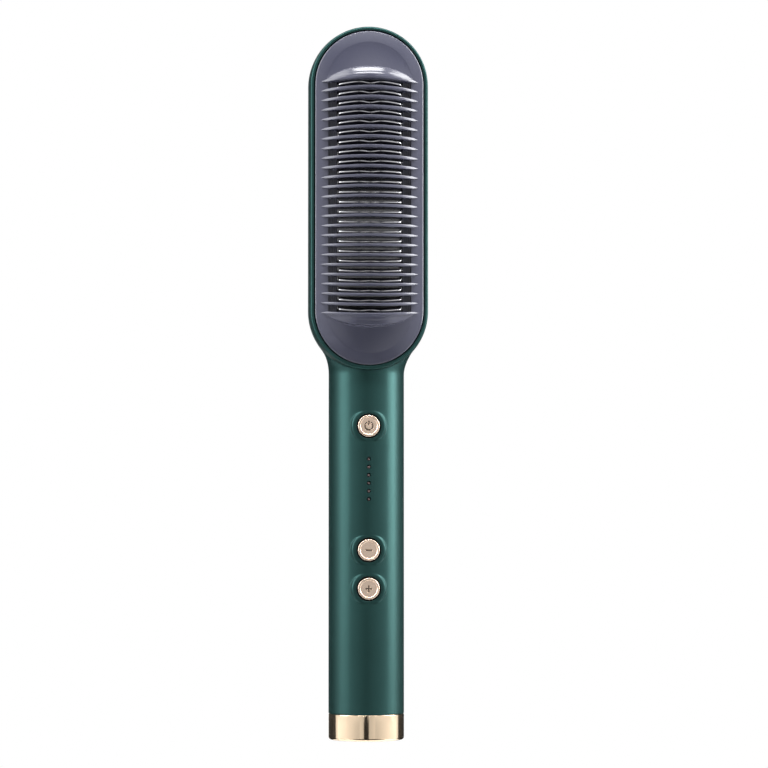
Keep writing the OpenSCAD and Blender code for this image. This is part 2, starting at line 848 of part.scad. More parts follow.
module comb_guard() {
    color([0.35, 0.36, 0.41])
        difference() {
            union() {
                difference() {
                    union() {
                        straight_run() border_section();
                        for (dir = [-1, 1])
                            round_end(dir) {
                                border_section();
                                dome_section();
                            }
                    }
                    for (dir = [-1, 1]) end_gap(dir);
                }
                slab(2 * bevel_in_r + past, straight, floor_back_f, floor_f, 0, mid_z);
                for (i = [-gap_count / 2:gap_count / 2])
                    at_fin(i)
                        linear_extrude(height = abs(i) == gap_count / 2 ? end_fin_t : fin_t, center = true)
                            fin_outline();
                for (side = [-1, 1], up = [mid_z - straight / 3, mid_z, mid_z + straight / 3])
                    comb_clip(side, up);
            }
            for (i = [-(gap_count - 1) / 2:(gap_count - 1) / 2])
                at_fin(i)
                    linear_extrude(height = hot_fin_t + 2 * slot_side, center = true)
                        translate([-slot_half_w, floor_back_f - past])
                            square([2 * slot_half_w, floor_t + 2 * past]);
            for (x = [-lug_x, lug_x], up = lug_up)
                disc(small_screw_r + hair, floor_back_f - past, floor_f - 0.4, x, mid_z + up);
        }
}

module comb_seal() {
    color([0.1, 0.1, 0.11])
        difference() {
            stadium(skirt_r, ledge_f, comb_back_f);
            stadium(skirt_r - skirt_t + 0.2, ledge_f - past, comb_back_f + past);
        }
}

// ---------------------------------------------------------------- heater

// Crest of a heated fin: an arch with a shallow dip in its middle.
function hot_crest(x) =
    let (foot = floor_f + 0.6, rise = crest_f - hot_fin_drop - foot + 0.6)
    foot + rise * pow(1 - pow(x / (hot_half_w + 0.2), 2), 0.8) - 1.4 * exp(-pow(x / 2.6, 2));

module hot_fin_outline() {
    polygon(concat(
        [[hot_half_w, plate_back_f + plate_t / 2], [-hot_half_w, plate_back_f + plate_t / 2]],
        [for (k = [-arch_steps:arch_steps]) let (x = hot_half_w * k / arch_steps) [x, hot_crest(x)]]
    ));
}

module heater_plate() {
    color([0.72, 0.72, 0.74])
        difference() {
            union() {
                slab(2 * plate_half_w, 2 * plate_half_l, plate_back_f, plate_f, 0, mid_z);
                for (i = [-(gap_count - 1) / 2:(gap_count - 1) / 2])
                    at_fin(i) linear_extrude(height = hot_fin_t, center = true) hot_fin_outline();
                for (side = [-1, 1], up = lug_up) {
                    disc(lug_r, plate_back_f, plate_f, side * lug_x, mid_z + up);
                    slab(lug_x - plate_half_w + 1, 2 * lug_r, plate_back_f, plate_f,
                        side * (lug_x + plate_half_w - 1) / 2, mid_z + up);
                }
                for (side = [-1, 1], up = clamp_post_up)
                    disc(clamp_post_r, clamp_f, plate_back_f + plate_t / 2, side * clamp_post_x, mid_z + up);
            }
            for (x = [-lug_x, lug_x], up = lug_up)
                disc(small_screw_r + seat_gap, plate_back_f - past, plate_f + past, x, mid_z + up);
            for (x = [-clamp_post_x, clamp_post_x], up = clamp_post_up)
                disc(small_screw_r + hair, clamp_f - past, clamp_f + clamp_thread + 0.4, x, mid_z + up);
        }
}

module ceramic_heaters() {
    gap = 1;
    len = (2 * stack_half_l - (ceramic_count - 1) * gap) / ceramic_count;
    color([0.82, 0.8, 0.74])
        for (i = [0:ceramic_count - 1])
            slab(2 * stack_half_w - 1, len,
                clamp_f + foil_t + electrode_t, plate_back_f - foil_t - electrode_t,
                0, mid_z + (i - (ceramic_count - 1) / 2) * (len + gap));
}

// Two strips with the ceramics between them, each with a tab for its wire.
module heater_electrodes() {
    tab_up = mid_z - stack_half_l - tab_len / 2 + 0.5;
    color([0.84, 0.66, 0.34]) {
        for (back_f = [clamp_f + foil_t, plate_back_f - foil_t - electrode_t])
            slab(2 * stack_half_w - 1, 2 * stack_half_l, back_f, back_f + electrode_t, 0, mid_z);
        slab(2.4, tab_len + 1, plate_back_f - foil_t - electrode_t, plate_back_f - foil_t, tab_x, tab_up);
        slab(2.4, tab_len + 1, clamp_f + foil_t, clamp_f + foil_t + electrode_t, -tab_x, tab_up);
    }
}

module heater_insulators() {
    color([0.8, 0.55, 0.2])
        for (back_f = [clamp_f, plate_back_f - foil_t])
            slab(2 * stack_half_w, 2 * stack_half_l + 1, back_f, back_f + foil_t, 0, mid_z);
}

module heater_clamp() {
    color([0.6, 0.61, 0.63])
        difference() {
            slab(2 * (clamp_post_x + clamp_post_r), 2 * stack_half_l + 1, clamp_back_f, clamp_f, 0, mid_z);
            for (x = [-clamp_post_x, clamp_post_x], up = clamp_post_up)
                disc(small_screw_r + seat_gap, clamp_back_f - past, clamp_f + past, x, mid_z + up);
        }
}

module clamp_screws() {
    color([0.75, 0.75, 0.78])
        for (x = [-clamp_post_x, clamp_post_x], up = clamp_post_up)
            screw_forward(small_screw_r, clamp_t + clamp_thread, clamp_back_f, x, mid_z + up,
                small_head_r, small_head_h);
}

// The tray that keeps the heat off the casing, with a flange on the lugs.
module heater_cover() {
    flange_x = lug_x + lug_r;
    color([0.24, 0.22, 0.2])
        difference() {
            union() {
                slab(2 * (cover_in_x + cover_wall), 2 * cover_half_l, cover_back_f - cover_wall,
                    plate_back_f, 0, mid_z);
                for (up = lug_up)
                    slab(2 * flange_x, 2 * lug_r, plate_back_f - 1.2, plate_back_f, 0, mid_z + up);
            }
            slab(2 * cover_in_x, 2 * (cover_half_l - cover_wall), cover_back_f, plate_back_f + past,
                0, mid_z);
            slab(lead_notch_w, 4 * cover_wall, plate_back_f - 4, plate_back_f + past, 0,
                mid_z - cover_half_l);
            for (x = [-lug_x, lug_x], up = lug_up)
                disc(small_screw_r + seat_gap, plate_back_f - 1.2 - past, plate_back_f + past, x, mid_z + up);
        }
}

module heater_screws() {
    seat_f = plate_back_f - 1.2;
    color([0.75, 0.75, 0.78])
        for (x = [-lug_x, lug_x], up = lug_up)
            screw_forward(small_screw_r, floor_f - 0.8 - seat_f, seat_f, x, mid_z + up, lug_head_r,
                small_head_h);
}

module thermal_fuse() {
    axis_f = clamp_back_f - fuse_r - hair;
    color([0.78, 0.76, 0.7])
        facing()
            translate([0, mid_z + fuse_up, axis_f])
                rotate([90, 0, 0]) {
                    cylinder(r = fuse_r, h = fuse_len, center = true);
                    cylinder(r = fuse_wire_r, h = fuse_len + fuse_wire_len, center = true);
                }
}

module temperature_sensor() {
    color([0.15, 0.15, 0.16])
        facing()
            translate([0, bead_low + bead_len, plate_back_f - bead_r - hair])
                rotate([90, 0, 0]) cylinder(r = bead_r, h = bead_len);
}

// ---------------------------------------------------------------- buttons

// A button's cap, its flange behind the guide, and the nub that meets the
// switch. glyph is drawn as cuts in the cap's face.
module button(up) {
    color([0.88, 0.74, 0.62])
        difference() {
            facing()
                translate([0, up, 0])
                    rotate_extrude()
                        polygon([
                            [0, plunger_f], [nub_r, plunger_f], [nub_r, flange_f - flange_t],
                            [flange_r, flange_f - flange_t], [flange_r, flange_f], [button_r, flange_f],
                            [button_r, button_f - face_edge], [button_r - face_edge, button_f],
                            [button_r - face_edge - face_rim, button_f],
                            [button_r - face_edge - face_rim - face_sink, button_f - face_sink],
                            [0, button_f - face_sink]
                        ]);
            children();
        }
}

// A straight cut of a button's sign, sunk into its face.
module stroke(w, h, up) {
    slab(w, h, sign_f, button_f + past, 0, up);
}

module power_button() {
    button(power_z) {
        difference() {
            disc(power_ring_r, sign_f, button_f + past, 0, power_z);
            disc(power_ring_r - sign_t, sign_f - past, button_f + 2 * past, 0, power_z);
            slab(power_gap_w, power_ring_r, sign_f - past, button_f + 2 * past, 0, power_z + power_ring_r);
        }
        stroke(sign_t, power_ring_r, power_z + 0.65 * power_ring_r);
    }
}

module minus_button() {
    button(minus_z) stroke(sign_len, sign_t, minus_z);
}

module plus_button() {
    button(plus_z) {
        stroke(sign_len, sign_t, plus_z);
        stroke(sign_t, sign_len, plus_z);
    }
}

// The black carrier whose collars the buttons slide in.
module button_guide() {
    color([0.08, 0.08, 0.09])
        difference() {
            union() {
                slab(guide_w, guide_top - guide_low, guide_back_f, guide_f, 0, (guide_top + guide_low) / 2);
                for (up = [power_z, minus_z, plus_z])
                    disc(collar_out_r, guide_back_f, collar_f, 0, up);
            }
            for (up = [power_z, minus_z, plus_z])
                disc(collar_in_r, guide_back_f - past, collar_f + past, 0, up);
            for (i = [0:led_count - 1])
                disc(led_hole_r + 0.05, guide_back_f - past, guide_f + past, 0, led_top_z - i * led_pitch);
            for (up = guide_screw_z)
                disc(small_screw_r + seat_gap, guide_back_f - past, guide_f + past, 0, up);
        }
}

module guide_screws() {
    color([0.75, 0.75, 0.78])
        for (up = guide_screw_z)
            screw_forward(small_screw_r, guide_screw_len, guide_back_f, 0, up, small_head_r, small_head_h);
}

module plunger(up) {
    color([0.12, 0.12, 0.12]) disc(plunger_r, plunger_f - plunger_len, plunger_f, 0, up);
}

module power_plunger() {
    plunger(power_z);
}

module minus_plunger() {
    plunger(minus_z);
}

module plus_plunger() {
    plunger(plus_z);
}

// A push switch: a metal-topped block with the plunger's bore in it.
module push_switch(up) {
    color([0.3, 0.3, 0.32])
        difference() {
            slab(switch_w, switch_w, board_f, switch_f, 0, up);
            disc(plunger_r + 0.05, plunger_f - plunger_len - button_travel - 0.2, switch_f + past, 0, up);
        }
}

module power_switch() {
    push_switch(power_z);
}

module minus_switch() {
    push_switch(minus_z);
}

module plus_switch() {
    push_switch(plus_z);
}

// ---------------------------------------------------------------- indicators and board

module light_pipe() {
    color([0.85, 0.87, 0.88]) {
        slab(pipe_w, led_top_z - led_low_z + 4.4, guide_back_f - pipe_t, guide_back_f, 0,
            (led_top_z + led_low_z) / 2);
        for (i = [0:led_count - 1]) {
            disc(pin_r, guide_back_f - pipe_t / 2, pin_f, 0, led_top_z - i * led_pitch);
            disc(leg_r, board_f + led_h + 0.3, guide_back_f - pipe_t / 2, 0, led_top_z - i * led_pitch);
        }
    }
}

module status_leds() {
    color([0.9, 0.85, 0.6])
        for (i = [0:led_count - 1])
            slab(led_w, led_w, board_f, board_f + led_h, 0, led_top_z - i * led_pitch);
}

module control_board() {
    color([0.1, 0.35, 0.2])
        difference() {
            slab(2 * board_half_w, board_top - board_low, board_back_f, board_f, 0,
                (board_top + board_low) / 2);
            for (x = [-board_post_x, board_post_x], up = board_post_z)
                disc(small_screw_r + seat_gap, board_back_f - past, board_f + past, x, up);
        }
}

module board_screws() {
    color([0.75, 0.75, 0.78])
        for (x = [-board_post_x, board_post_x], up = board_post_z)
            screw_forward(small_screw_r, board_screw_len, board_back_f, x, up, small_head_r, small_head_h);
}

module filter_capacitor() {
    color([0.15, 0.25, 0.5]) {
        slab(capacitor_r, capacitor_len / 2, board_back_f - capacitor_r, board_back_f, 0, capacitor_z);
        facing()
            translate([0, capacitor_z, board_back_f - capacitor_r])
                rotate([90, 0, 0]) cylinder(r = capacitor_r, h = capacitor_len, center = true);
    }
}

module power_triac() {
    color([0.1, 0.1, 0.11])
        slab(triac_size[0], triac_size[1], board_back_f - triac_size[2], board_back_f, 0, triac_z);
}

module control_chip() {
    color([0.1, 0.1, 0.11])
        slab(chip_size[0], chip_size[1], board_back_f - chip_size[2], board_back_f, 0, chip_z);
}

module heater_terminal() {
    color([0.9, 0.9, 0.88])
        difference() {
            slab(terminal_w, terminal_h, board_back_f - 6, board_back_f, 0,
                heater_terminal_z + terminal_h / 2);
            for (side = [-1, 1]) {
                slab(2, terminal_h, board_back_f - 3.6, board_back_f - 1.6, side * 3.2,
                    heater_terminal_z + terminal_h);
                slab(1.4, terminal_h, board_back_f - 3.1, board_back_f - 1.7, side,
                    heater_terminal_z + terminal_h);
            }
        }
}

module mains_terminal() {
    color([0.9, 0.9, 0.88])
        slab(terminal_w, terminal_h, board_back_f - 6, board_back_f, 0, mains_terminal_z);
}

module heater_leads() {
    color([0.75, 0.15, 0.12]) wire_pair(heater_lead_route, lead_r);
}

module sensor_leads() {
    color([0.9, 0.9, 0.9]) wire_pair(sensor_lead_route, thin_lead_r);
}

module mains_leads() {
    color([0.35, 0.2, 0.1]) wire_pair(mains_lead_route, lead_r);
}

// ---------------------------------------------------------------- nodes

front_shell();
rear_shell();
shell_screws();
end_cap();
comb_guard();
comb_seal();
heater_plate();
ceramic_heaters();
heater_electrodes();
heater_insulators();
heater_clamp();
clamp_screws();
heater_cover();
heater_screws();
thermal_fuse();
temperature_sensor();
button_guide();
guide_screws();
power_button();
minus_button();
plus_button();
power_plunger();
minus_plunger();
plus_plunger();
power_switch();
minus_switch();
plus_switch();
light_pipe();
status_leds();
control_board();
board_screws();
filter_capacitor();
power_triac();
control_chip();
heater_terminal();
mains_terminal();
heater_leads();
sensor_leads();
mains_leads();
swivel_housing();
cord_swivel();
slip_rings();
brush_contacts();
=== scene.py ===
"""Heated straightening comb: the looks of its casing, comb, heated fins, buttons and end cap.

Every length in the shape functions is in millimetres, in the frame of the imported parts: x to the right,
z up along the handle, and "forward" (f) is the distance in front of the handle's axis, so y = -f.
A surface is a pair: an array of vertices, and an array of quads that count them.
"""

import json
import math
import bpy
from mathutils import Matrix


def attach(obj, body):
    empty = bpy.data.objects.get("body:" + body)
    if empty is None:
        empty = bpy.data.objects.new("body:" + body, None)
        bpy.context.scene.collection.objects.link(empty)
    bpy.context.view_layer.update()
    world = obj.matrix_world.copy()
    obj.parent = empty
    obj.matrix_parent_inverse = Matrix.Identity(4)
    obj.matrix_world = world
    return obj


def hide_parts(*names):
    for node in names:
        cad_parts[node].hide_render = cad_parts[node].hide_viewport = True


bl_info = {
    "name": "Heated Straightening Comb",
    "version": (1, 0, 0),
    "blender": (4, 5, 0),
    "location": "3D View > Sidebar > Hot Comb",
    "description": "Builds the casing, comb, heated fins, buttons and end cap of a hot comb",
    "category": "Object",
}

from types import SimpleNamespace

import bpy
import numpy as np
from bpy.props import FloatProperty, FloatVectorProperty, IntProperty, PointerProperty
from mathutils import Vector

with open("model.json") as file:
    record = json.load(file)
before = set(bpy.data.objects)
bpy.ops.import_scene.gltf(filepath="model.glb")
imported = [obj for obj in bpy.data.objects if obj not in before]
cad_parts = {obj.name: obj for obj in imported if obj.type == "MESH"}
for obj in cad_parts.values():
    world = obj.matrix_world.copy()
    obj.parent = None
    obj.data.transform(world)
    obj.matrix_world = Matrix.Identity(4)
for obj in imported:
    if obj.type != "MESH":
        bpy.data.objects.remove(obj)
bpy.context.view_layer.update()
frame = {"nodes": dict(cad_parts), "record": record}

MM = 0.001
WELD = 7.31e-3                     # points in the same cell of this size are one point
WELD_SHIFT = 0.377                 # moves the cells, so that no round measure lies on a border of theirs
SHARP = math.radians(35)
SEAM_DEPTH, SEAM_WIDTH = 0.12, 0.35                          # the rounding beside the casing's seam
SEAM_STEPS = np.array([0, 0.08, 0.2, SEAM_WIDTH, 0.7, 1.4])  # rows up from the casing's lower end
CURL = 10                          # degrees of q past 90 in which the front skin curls back to the seam


# ---------------------------------------------------------------- surfaces


def grid_quads(rows, cols, wrap_rows=False, wrap_cols=False):
    """Quads between the neighbours of a rows x cols grid; a wrapped side closes on its own start."""
    index = np.arange(rows * cols).reshape(rows, cols)
    if wrap_rows:
        index = np.vstack([index, index[:1]])
    if wrap_cols:
        index = np.hstack([index, index[:, :1]])
    corners = [index[:-1, :-1], index[1:, :-1], index[1:, 1:], index[:-1, 1:]]
    return np.stack(corners, axis=-1).reshape(-1, 4)


def surface(points, wrap_rows=False, wrap_cols=False):
    """A (rows, columns, 3) array of points as (vertices, quads)."""
    rows, cols = points.shape[:2]
    return points.reshape(-1, 3), grid_quads(rows, cols, wrap_rows, wrap_cols)


def join(surfaces):
    """Several (vertices, quads) as one, with the quads counted on."""
    starts = np.cumsum([0] + [len(vertices) for vertices, _ in surfaces[:-1]])
    vertices = np.concatenate([vertices for vertices, _ in surfaces])
    return vertices, np.concatenate([quads + start for (_, quads), start in zip(surfaces, starts)])


def spots(x, f, z):
    """Points at distances x to the right, f forward and z up, spread over one grid."""
    return np.stack(np.broadcast_arrays(x, -np.asarray(f), z), axis=-1)


def weld(vertices, quads):
    """Makes points in the same small cell one point: (kept points, quads), without collapsed quads."""
    cell = np.floor(vertices / WELD + WELD_SHIFT).astype(np.int64)
    _, kept, place = np.unique(cell, axis=0, return_index=True, return_inverse=True)
    quads = place.ravel()[quads]
    corners = (quads != np.roll(quads, 1, axis=1)).sum(axis=1)
    crossed = (quads[:, 0] == quads[:, 2]) | (quads[:, 1] == quads[:, 3])
    return kept, quads[(corners >= 3) & ~crossed]


def outward(vertices, quads):
    """Turns a closed surface's quads round if the volume inside them counts negative."""
    a, b, c, d = (vertices[quads[:, k]] for k in range(4))
    volume = (a * (np.cross(b, c) + np.cross(c, d))).sum()
    return quads[:, ::-1] if volume < 0 else quads


def thickened(outer, inner, quads):
    """A wall: the outer skin, its inner points turned round, and a band along the open edges."""
    kept, quads = weld(outer, quads)
    outer, inner = outer[kept], inner[kept]
    ends = np.stack([quads, np.roll(quads, -1, axis=1)], axis=-1).reshape(-1, 2)
    ends = ends[ends[:, 0] != ends[:, 1]]
    _, pair, uses = np.unique(np.sort(ends, axis=1), axis=0, return_inverse=True, return_counts=True)
    rim = ends[uses[pair.ravel()] == 1]
    count = len(outer)
    band = np.stack([rim[:, 1], rim[:, 0], rim[:, 0] + count, rim[:, 1] + count], axis=1)
    return np.concatenate([outer, inner]), np.concatenate([quads, quads[:, ::-1] + count, band])


def tube(rings):
    """A closed tube through a (count, around, 3) array of rings, each end closed on its ring's centre."""
    first = np.broadcast_to(rings[0].mean(axis=0), rings[0].shape)
    last = np.broadcast_to(rings[-1].mean(axis=0), rings[-1].shape)
    return surface(np.concatenate([first[None], rings, last[None]]), wrap_cols=True)


def rounded(corners, steps=5, closed=True):
    """A profile through (a, b, setback) corners, each rounded by a parabola that starts setback away."""
    corners = np.array(corners, dtype=float)
    places, setbacks = corners[:, :2], corners[:, 2]
    t = np.linspace(0, 1, steps + 1)[:, None]
    pieces = []
    for k, (corner, setback) in enumerate(zip(places, setbacks)):
        if setback == 0 or (not closed and k in (0, len(places) - 1)):
            pieces.append(corner[None])
            continue
        before = places[k - 1] - corner
        after = places[(k + 1) % len(places)] - corner
        start = corner + before / np.hypot(*before) * setback
        end = corner + after / np.hypot(*after) * setback
        pieces.append((1 - t) ** 2 * start + 2 * t * (1 - t) * corner + t**2 * end)
    return np.concatenate(pieces)


def turned(profile, columns=96, x=0.0, z=0.0, upright=False, closed=False):
    """A (radius, height) profile turned about a line through (x, z): height is forward, or up if upright."""
    angle = np.linspace(0, 2 * np.pi, columns, endpoint=False)
    radius, height = np.asarray(profile, dtype=float).T[:, :, None]
    f, up = (-radius * np.sin(angle), height) if upright else (height, radius * np.sin(angle))
    return surface(spots(x + radius * np.cos(angle), f, z + up), wrap_rows=closed, wrap_cols=True)


def plate(half_x, half_z, low_f, high_f, corner, edge, x=0.0, z=0.0, steps=6):
    """A flat plate: a rectangle with round corners, drawn in by the edge's rounding at its two faces."""
    inset = edge * (1 - np.sin(np.linspace(0, np.pi / 2, steps)))
    depth = edge * (1 - np.cos(np.linspace(0, np.pi / 2, steps)))
    inset = np.concatenate([inset, inset[::-1]])
    forward = np.concatenate([low_f + edge - depth[::-1], high_f - edge + depth])
    angle = np.linspace(0, 2 * np.pi, 4 * steps, endpoint=False) + np.pi / (4 * steps)
    side_x, side_z = np.sign(np.cos(angle)), np.sign(np.sin(angle))
    radius = corner - inset[:, None]
    across = x + side_x * (half_x - corner) + radius * np.cos(angle)
    up = z + side_z * (half_z - corner) + radius * np.sin(angle)
    return tube(spots(across, forward[:, None], up))


def add_piece(name, parts, material, body, node):
    """Makes one object of closed (vertices, quads) parts in millimetres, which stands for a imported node."""
    closed = []
    for vertices, quads in parts:
        kept, quads = weld(vertices, quads)
        closed.append((vertices[kept], outward(vertices[kept], quads)))
    vertices, quads = join(closed)
    corner = quads != np.roll(quads, 1, axis=1)
    size = corner.sum(axis=1)
    mesh = bpy.data.meshes.new(name)
    mesh.vertices.add(len(vertices))
    mesh.vertices.foreach_set("co", (vertices * MM).ravel())
    mesh.loops.add(int(size.sum()))
    mesh.loops.foreach_set("vertex_index", quads[corner].astype(np.int32))
    mesh.polygons.add(len(quads))
    mesh.polygons.foreach_set("loop_start", (np.cumsum(size) - size).astype(np.int32))
    mesh.polygons.foreach_set("use_smooth", np.ones(len(quads), dtype=bool))
    mesh.update(calc_edges=True)
    mesh.validate()
    mesh.set_sharp_from_angle(angle=SHARP)
    mesh.materials.append(material)
    piece = bpy.data.objects.new(name, mesh)
    bpy.context.scene.collection.objects.link(piece)
    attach(piece, body)
    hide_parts(node)


# ---------------------------------------------------------------- the comb's measures


def spread(reach, count):
    """Places from -reach to reach, closer together towards both ends: reach sin(u), u within 90 degrees."""
    return reach * np.sin(np.linspace(-1, 1, count) * np.pi / 2)


def smooth_step(t):
    """0 below 0, 1 above 1, and a smooth rise between."""
    t = np.clip(t, 0, 1)
    return t * t * (3 - 2 * t)


def bell(r, reach, power):
    """Height of the comb's arch at distance r from its middle: (1 - (r / reach)^2)^power."""
    return np.maximum(1 - (r / reach) ** 2, 0) ** power


def measures(context):
    """The sizes that the shape functions share, in millimetres, from the comb's properties."""
    sizes = context.scene.hot_comb_sizes
    m = SimpleNamespace()
    m.handle_r = sizes.handle_diameter / MM / 2
    m.head_r = sizes.head_width / MM / 2
    m.wall = sizes.shell_wall / MM
    m.fillet = sizes.neck_fillet / MM
    top = sizes.overall_length / MM
    m.high_z = top - m.head_r
    m.low_z = top - sizes.head_length / MM + m.head_r
    m.mid_z = (m.high_z + m.low_z) / 2
    reach = m.head_r + m.fillet
    m.neck_z = m.low_z - math.sqrt(reach**2 - (m.handle_r + m.fillet) ** 2)
    m.join_z = m.low_z - m.head_r * (m.low_z - m.neck_z) / reach
    m.skirt_top = 10.1
    m.wide_f = m.head_r - m.handle_r
    # the head's opening, and the comb in it
    m.rim_f = m.handle_r + sizes.rim_stand / MM
    m.open_r = m.head_r - sizes.rim_width / MM
    m.ledge_f = m.rim_f - 7.6
    m.ledge_in_r = m.open_r - 2.35
    m.skirt_r = m.open_r - 0.45
    m.slope_rise, m.slope_run = 1.55, 4.3
    m.slope_low_f = m.rim_f + 0.35
    m.slope_high_f = m.slope_low_f + m.slope_rise
    m.slope_in_r = m.open_r - 5.4
    m.floor_f = m.slope_high_f - 3
    m.base_f = m.floor_f - 3
    tip_run = 2.75
    m.arch_r = m.slope_in_r + tip_run
    m.foot_f = m.slope_high_f - m.slope_rise * tip_run / m.slope_run
    m.crest_f = m.foot_f + sizes.fin_height / MM
    m.pitch = sizes.fin_pitch / MM
    m.gaps = sizes.gap_count
    m.fan = sizes.fan_angle
    # the buttons on their pads, the indicators between them, and the carrier behind both
    m.power_z = m.neck_z - 20
    m.led_z = m.power_z - 12.7 - 3.08 * np.arange(6)
    m.minus_z = m.led_z[-1] - 19.5
    m.plus_z = m.minus_z - 14.8
    m.button_r = sizes.button_diameter / MM / 2
    m.face_f = m.handle_r + 0.4
    m.pad_f = m.handle_r + 0.02
    m.pad_r = 6.85
    m.hole_r = m.button_r + 0.62
    m.led_hole_r = 0.75
    m.guide_f = 9.94
    return m


def spine_depth(m, z):
    """How far the casing's widest line lies in front of the axis: 0 on the handle, rising along the neck."""
    return m.wide_f * smooth_step((z - m.neck_z) / (m.join_z - m.neck_z))


def half_width(m, z):
    """The handle's radius, then the neck's hollow arc, then the head's round end."""
    neck = m.handle_r + m.fillet - np.sqrt(np.maximum(m.fillet**2 - (z - m.neck_z) ** 2, 0))
    head = np.sqrt(np.maximum(m.head_r**2 - np.maximum(m.low_z - z, 0) ** 2, 0))
    return np.where(z <= m.neck_z, m.handle_r, np.where(z < m.join_z, neck, head))


def seam_inset(m, y, z):
    """The small rounding, as a depth, beside the casing's seam at y = 0 and at its lower end."""
    near = np.minimum(np.minimum(np.abs(y), np.abs(z - m.skirt_top)) / SEAM_WIDTH, 1)
    return SEAM_DEPTH * (1 - near) ** 2


# ---------------------------------------------------------------- casing


def front_point(m, q, z, depth):
    """A point of the front casing's skin: a half ellipse in front of the widest line for q within 90 degrees.

    Past 90 degrees the skin curls back, on an ellipse behind the widest line, to the seam at y = 0.
    """
    width = half_width(m, z) - depth
    spine = spine_depth(m, z)
    radius = m.handle_r - depth
    angle = np.radians(np.clip(q, -90, 90))
    curl = np.clip(np.abs(q) - 90, 0, CURL) / CURL * np.arcsin(spine / (radius + spine))
    behind = np.abs(q) > 90
    x = np.where(behind, np.sign(q) * width * np.cos(curl), width * np.sin(angle))
    f = np.where(behind, spine - (radius + spine) * np.sin(curl), spine + (radius - spine) * np.cos(angle))
    return spots(x, f, z)


def front_skin(m, q, z):
    """The outer and the inner points of the front skin where q and z say, the outer drawn in at the seam."""
    y = front_point(m, q, z, 0.0)[..., 1]
    return front_point(m, q, z, seam_inset(m, y, z)), front_point(m, q, z, m.wall)


def patch_edge(q, z):
    """The border of a patch, counter-clockwise from its lower left corner: (q, z) of each point."""
    edge_q = np.concatenate([q[:-1], np.full(len(z) - 1, q[-1]), q[:0:-1], np.full(len(z) - 1, q[0])])
    edge_z = np.concatenate([np.full(len(q) - 1, z[0]), z[:-1], np.full(len(q) - 1, z[-1]), z[:0:-1]])
    return edge_q, edge_z


def pad_rings(m, across, border_r):
    """A button's raised pad: from the round handle over a small fillet, up the pad's rounded wall, over
    its flat face and a small edge, and down into the button's hole."""
    rounding, fillet, edge = 1.4, 0.4, 0.15
    arc_end = rounding * np.pi / 2

    def wall(a):
        turn = np.maximum(a, 0) / rounding
        r = m.pad_r - rounding + rounding * np.cos(turn)
        return r, m.pad_f - rounding + np.minimum(a, 0) + rounding * np.sin(turn)

    def handle_f(r):
        return np.sqrt(m.handle_r**2 - (r * across) ** 2)

    low, high = np.full_like(across, -4.0), np.full_like(across, arc_end)
    for _ in range(40):         # halves the span in which the wall meets the handle
        middle = (low + high) / 2
        r, f = wall(middle)
        above = f > handle_f(r)
        low, high = np.where(above, low, middle), np.where(above, middle, high)
    foot = (low + high) / 2
    foot_r, foot_f = wall(foot)
    outer_r = foot_r + fillet
    start = foot + np.minimum(fillet, 0.5 * (arc_end - foot))
    start_r, start_f = wall(start)
    rings = []
    for t in (1 / 3, 2 / 3, 1):
        r = border_r + (outer_r - border_r) * t
        rings.append((r, handle_f(r)))
    for t in np.linspace(0, 1, 6)[1:]:
        a, b, c = (1 - t) ** 2, 2 * t * (1 - t), t**2
        f = a * handle_f(outer_r) + b * foot_f + c * start_f
        rings.append((a * outer_r + b * foot_r + c * start_r, f))
    rings += [wall(start + (arc_end - start) * t) for t in np.linspace(0, 1, 10)[1:]]
    for r, f in (
        (m.pad_r - rounding - 0.3, m.pad_f),
        (m.hole_r + edge, m.pad_f),
        (m.hole_r + 0.07, m.pad_f - 0.02),
        (m.hole_r + 0.02, m.pad_f - 0.07),
        (m.hole_r, m.pad_f - edge),
        (m.hole_r, m.pad_f - 1.1),
    ):
        rings.append((np.full_like(across, r), np.full_like(across, f)))
    return np.array(rings).transpose(1, 0, 2)


def led_rings(m, across, border_r):
    """The skin round an indicator: flat up to its hole, which has a small rounded edge."""
    radius = np.array([1.05, 0.86, 0.79, 0.76, m.led_hole_r, m.led_hole_r])[:, None]
    sunk = np.array([0, 0, 0.03, 0.08, 0.16, 0.9])[:, None]
    return radius, np.sqrt(m.handle_r**2 - (radius * across) ** 2) - sunk


def patch(m, centre_z, q, z, rings, hole_r):
    """The skin round a hole, from a border in the handle, as (outer points, inner points).

    Rings gives the radius and the depth of the outer rings from the border to the hole. The inner points
    run evenly from one to the other.
    """
    border, inner_border = front_skin(m, *patch_edge(q, z))
    direction = np.arctan2(border[:, 2] - centre_z, border[:, 0])
    across, along = np.cos(direction), np.sin(direction)
    radius, f = rings(m, across, np.hypot(border[:, 0], border[:, 2] - centre_z))
    outer = np.concatenate([border[None], spots(radius * across, f, centre_z + radius * along)])
    share = np.linspace(0, 1, len(outer))[:, None]
    x = inner_border[:, 0] * (1 - share) + hole_r * across * share
    up = inner_border[:, 2] * (1 - share) + (centre_z + hole_r * along) * share
    return outer, spots(x, np.sqrt((m.handle_r - m.wall) ** 2 - x**2), up)


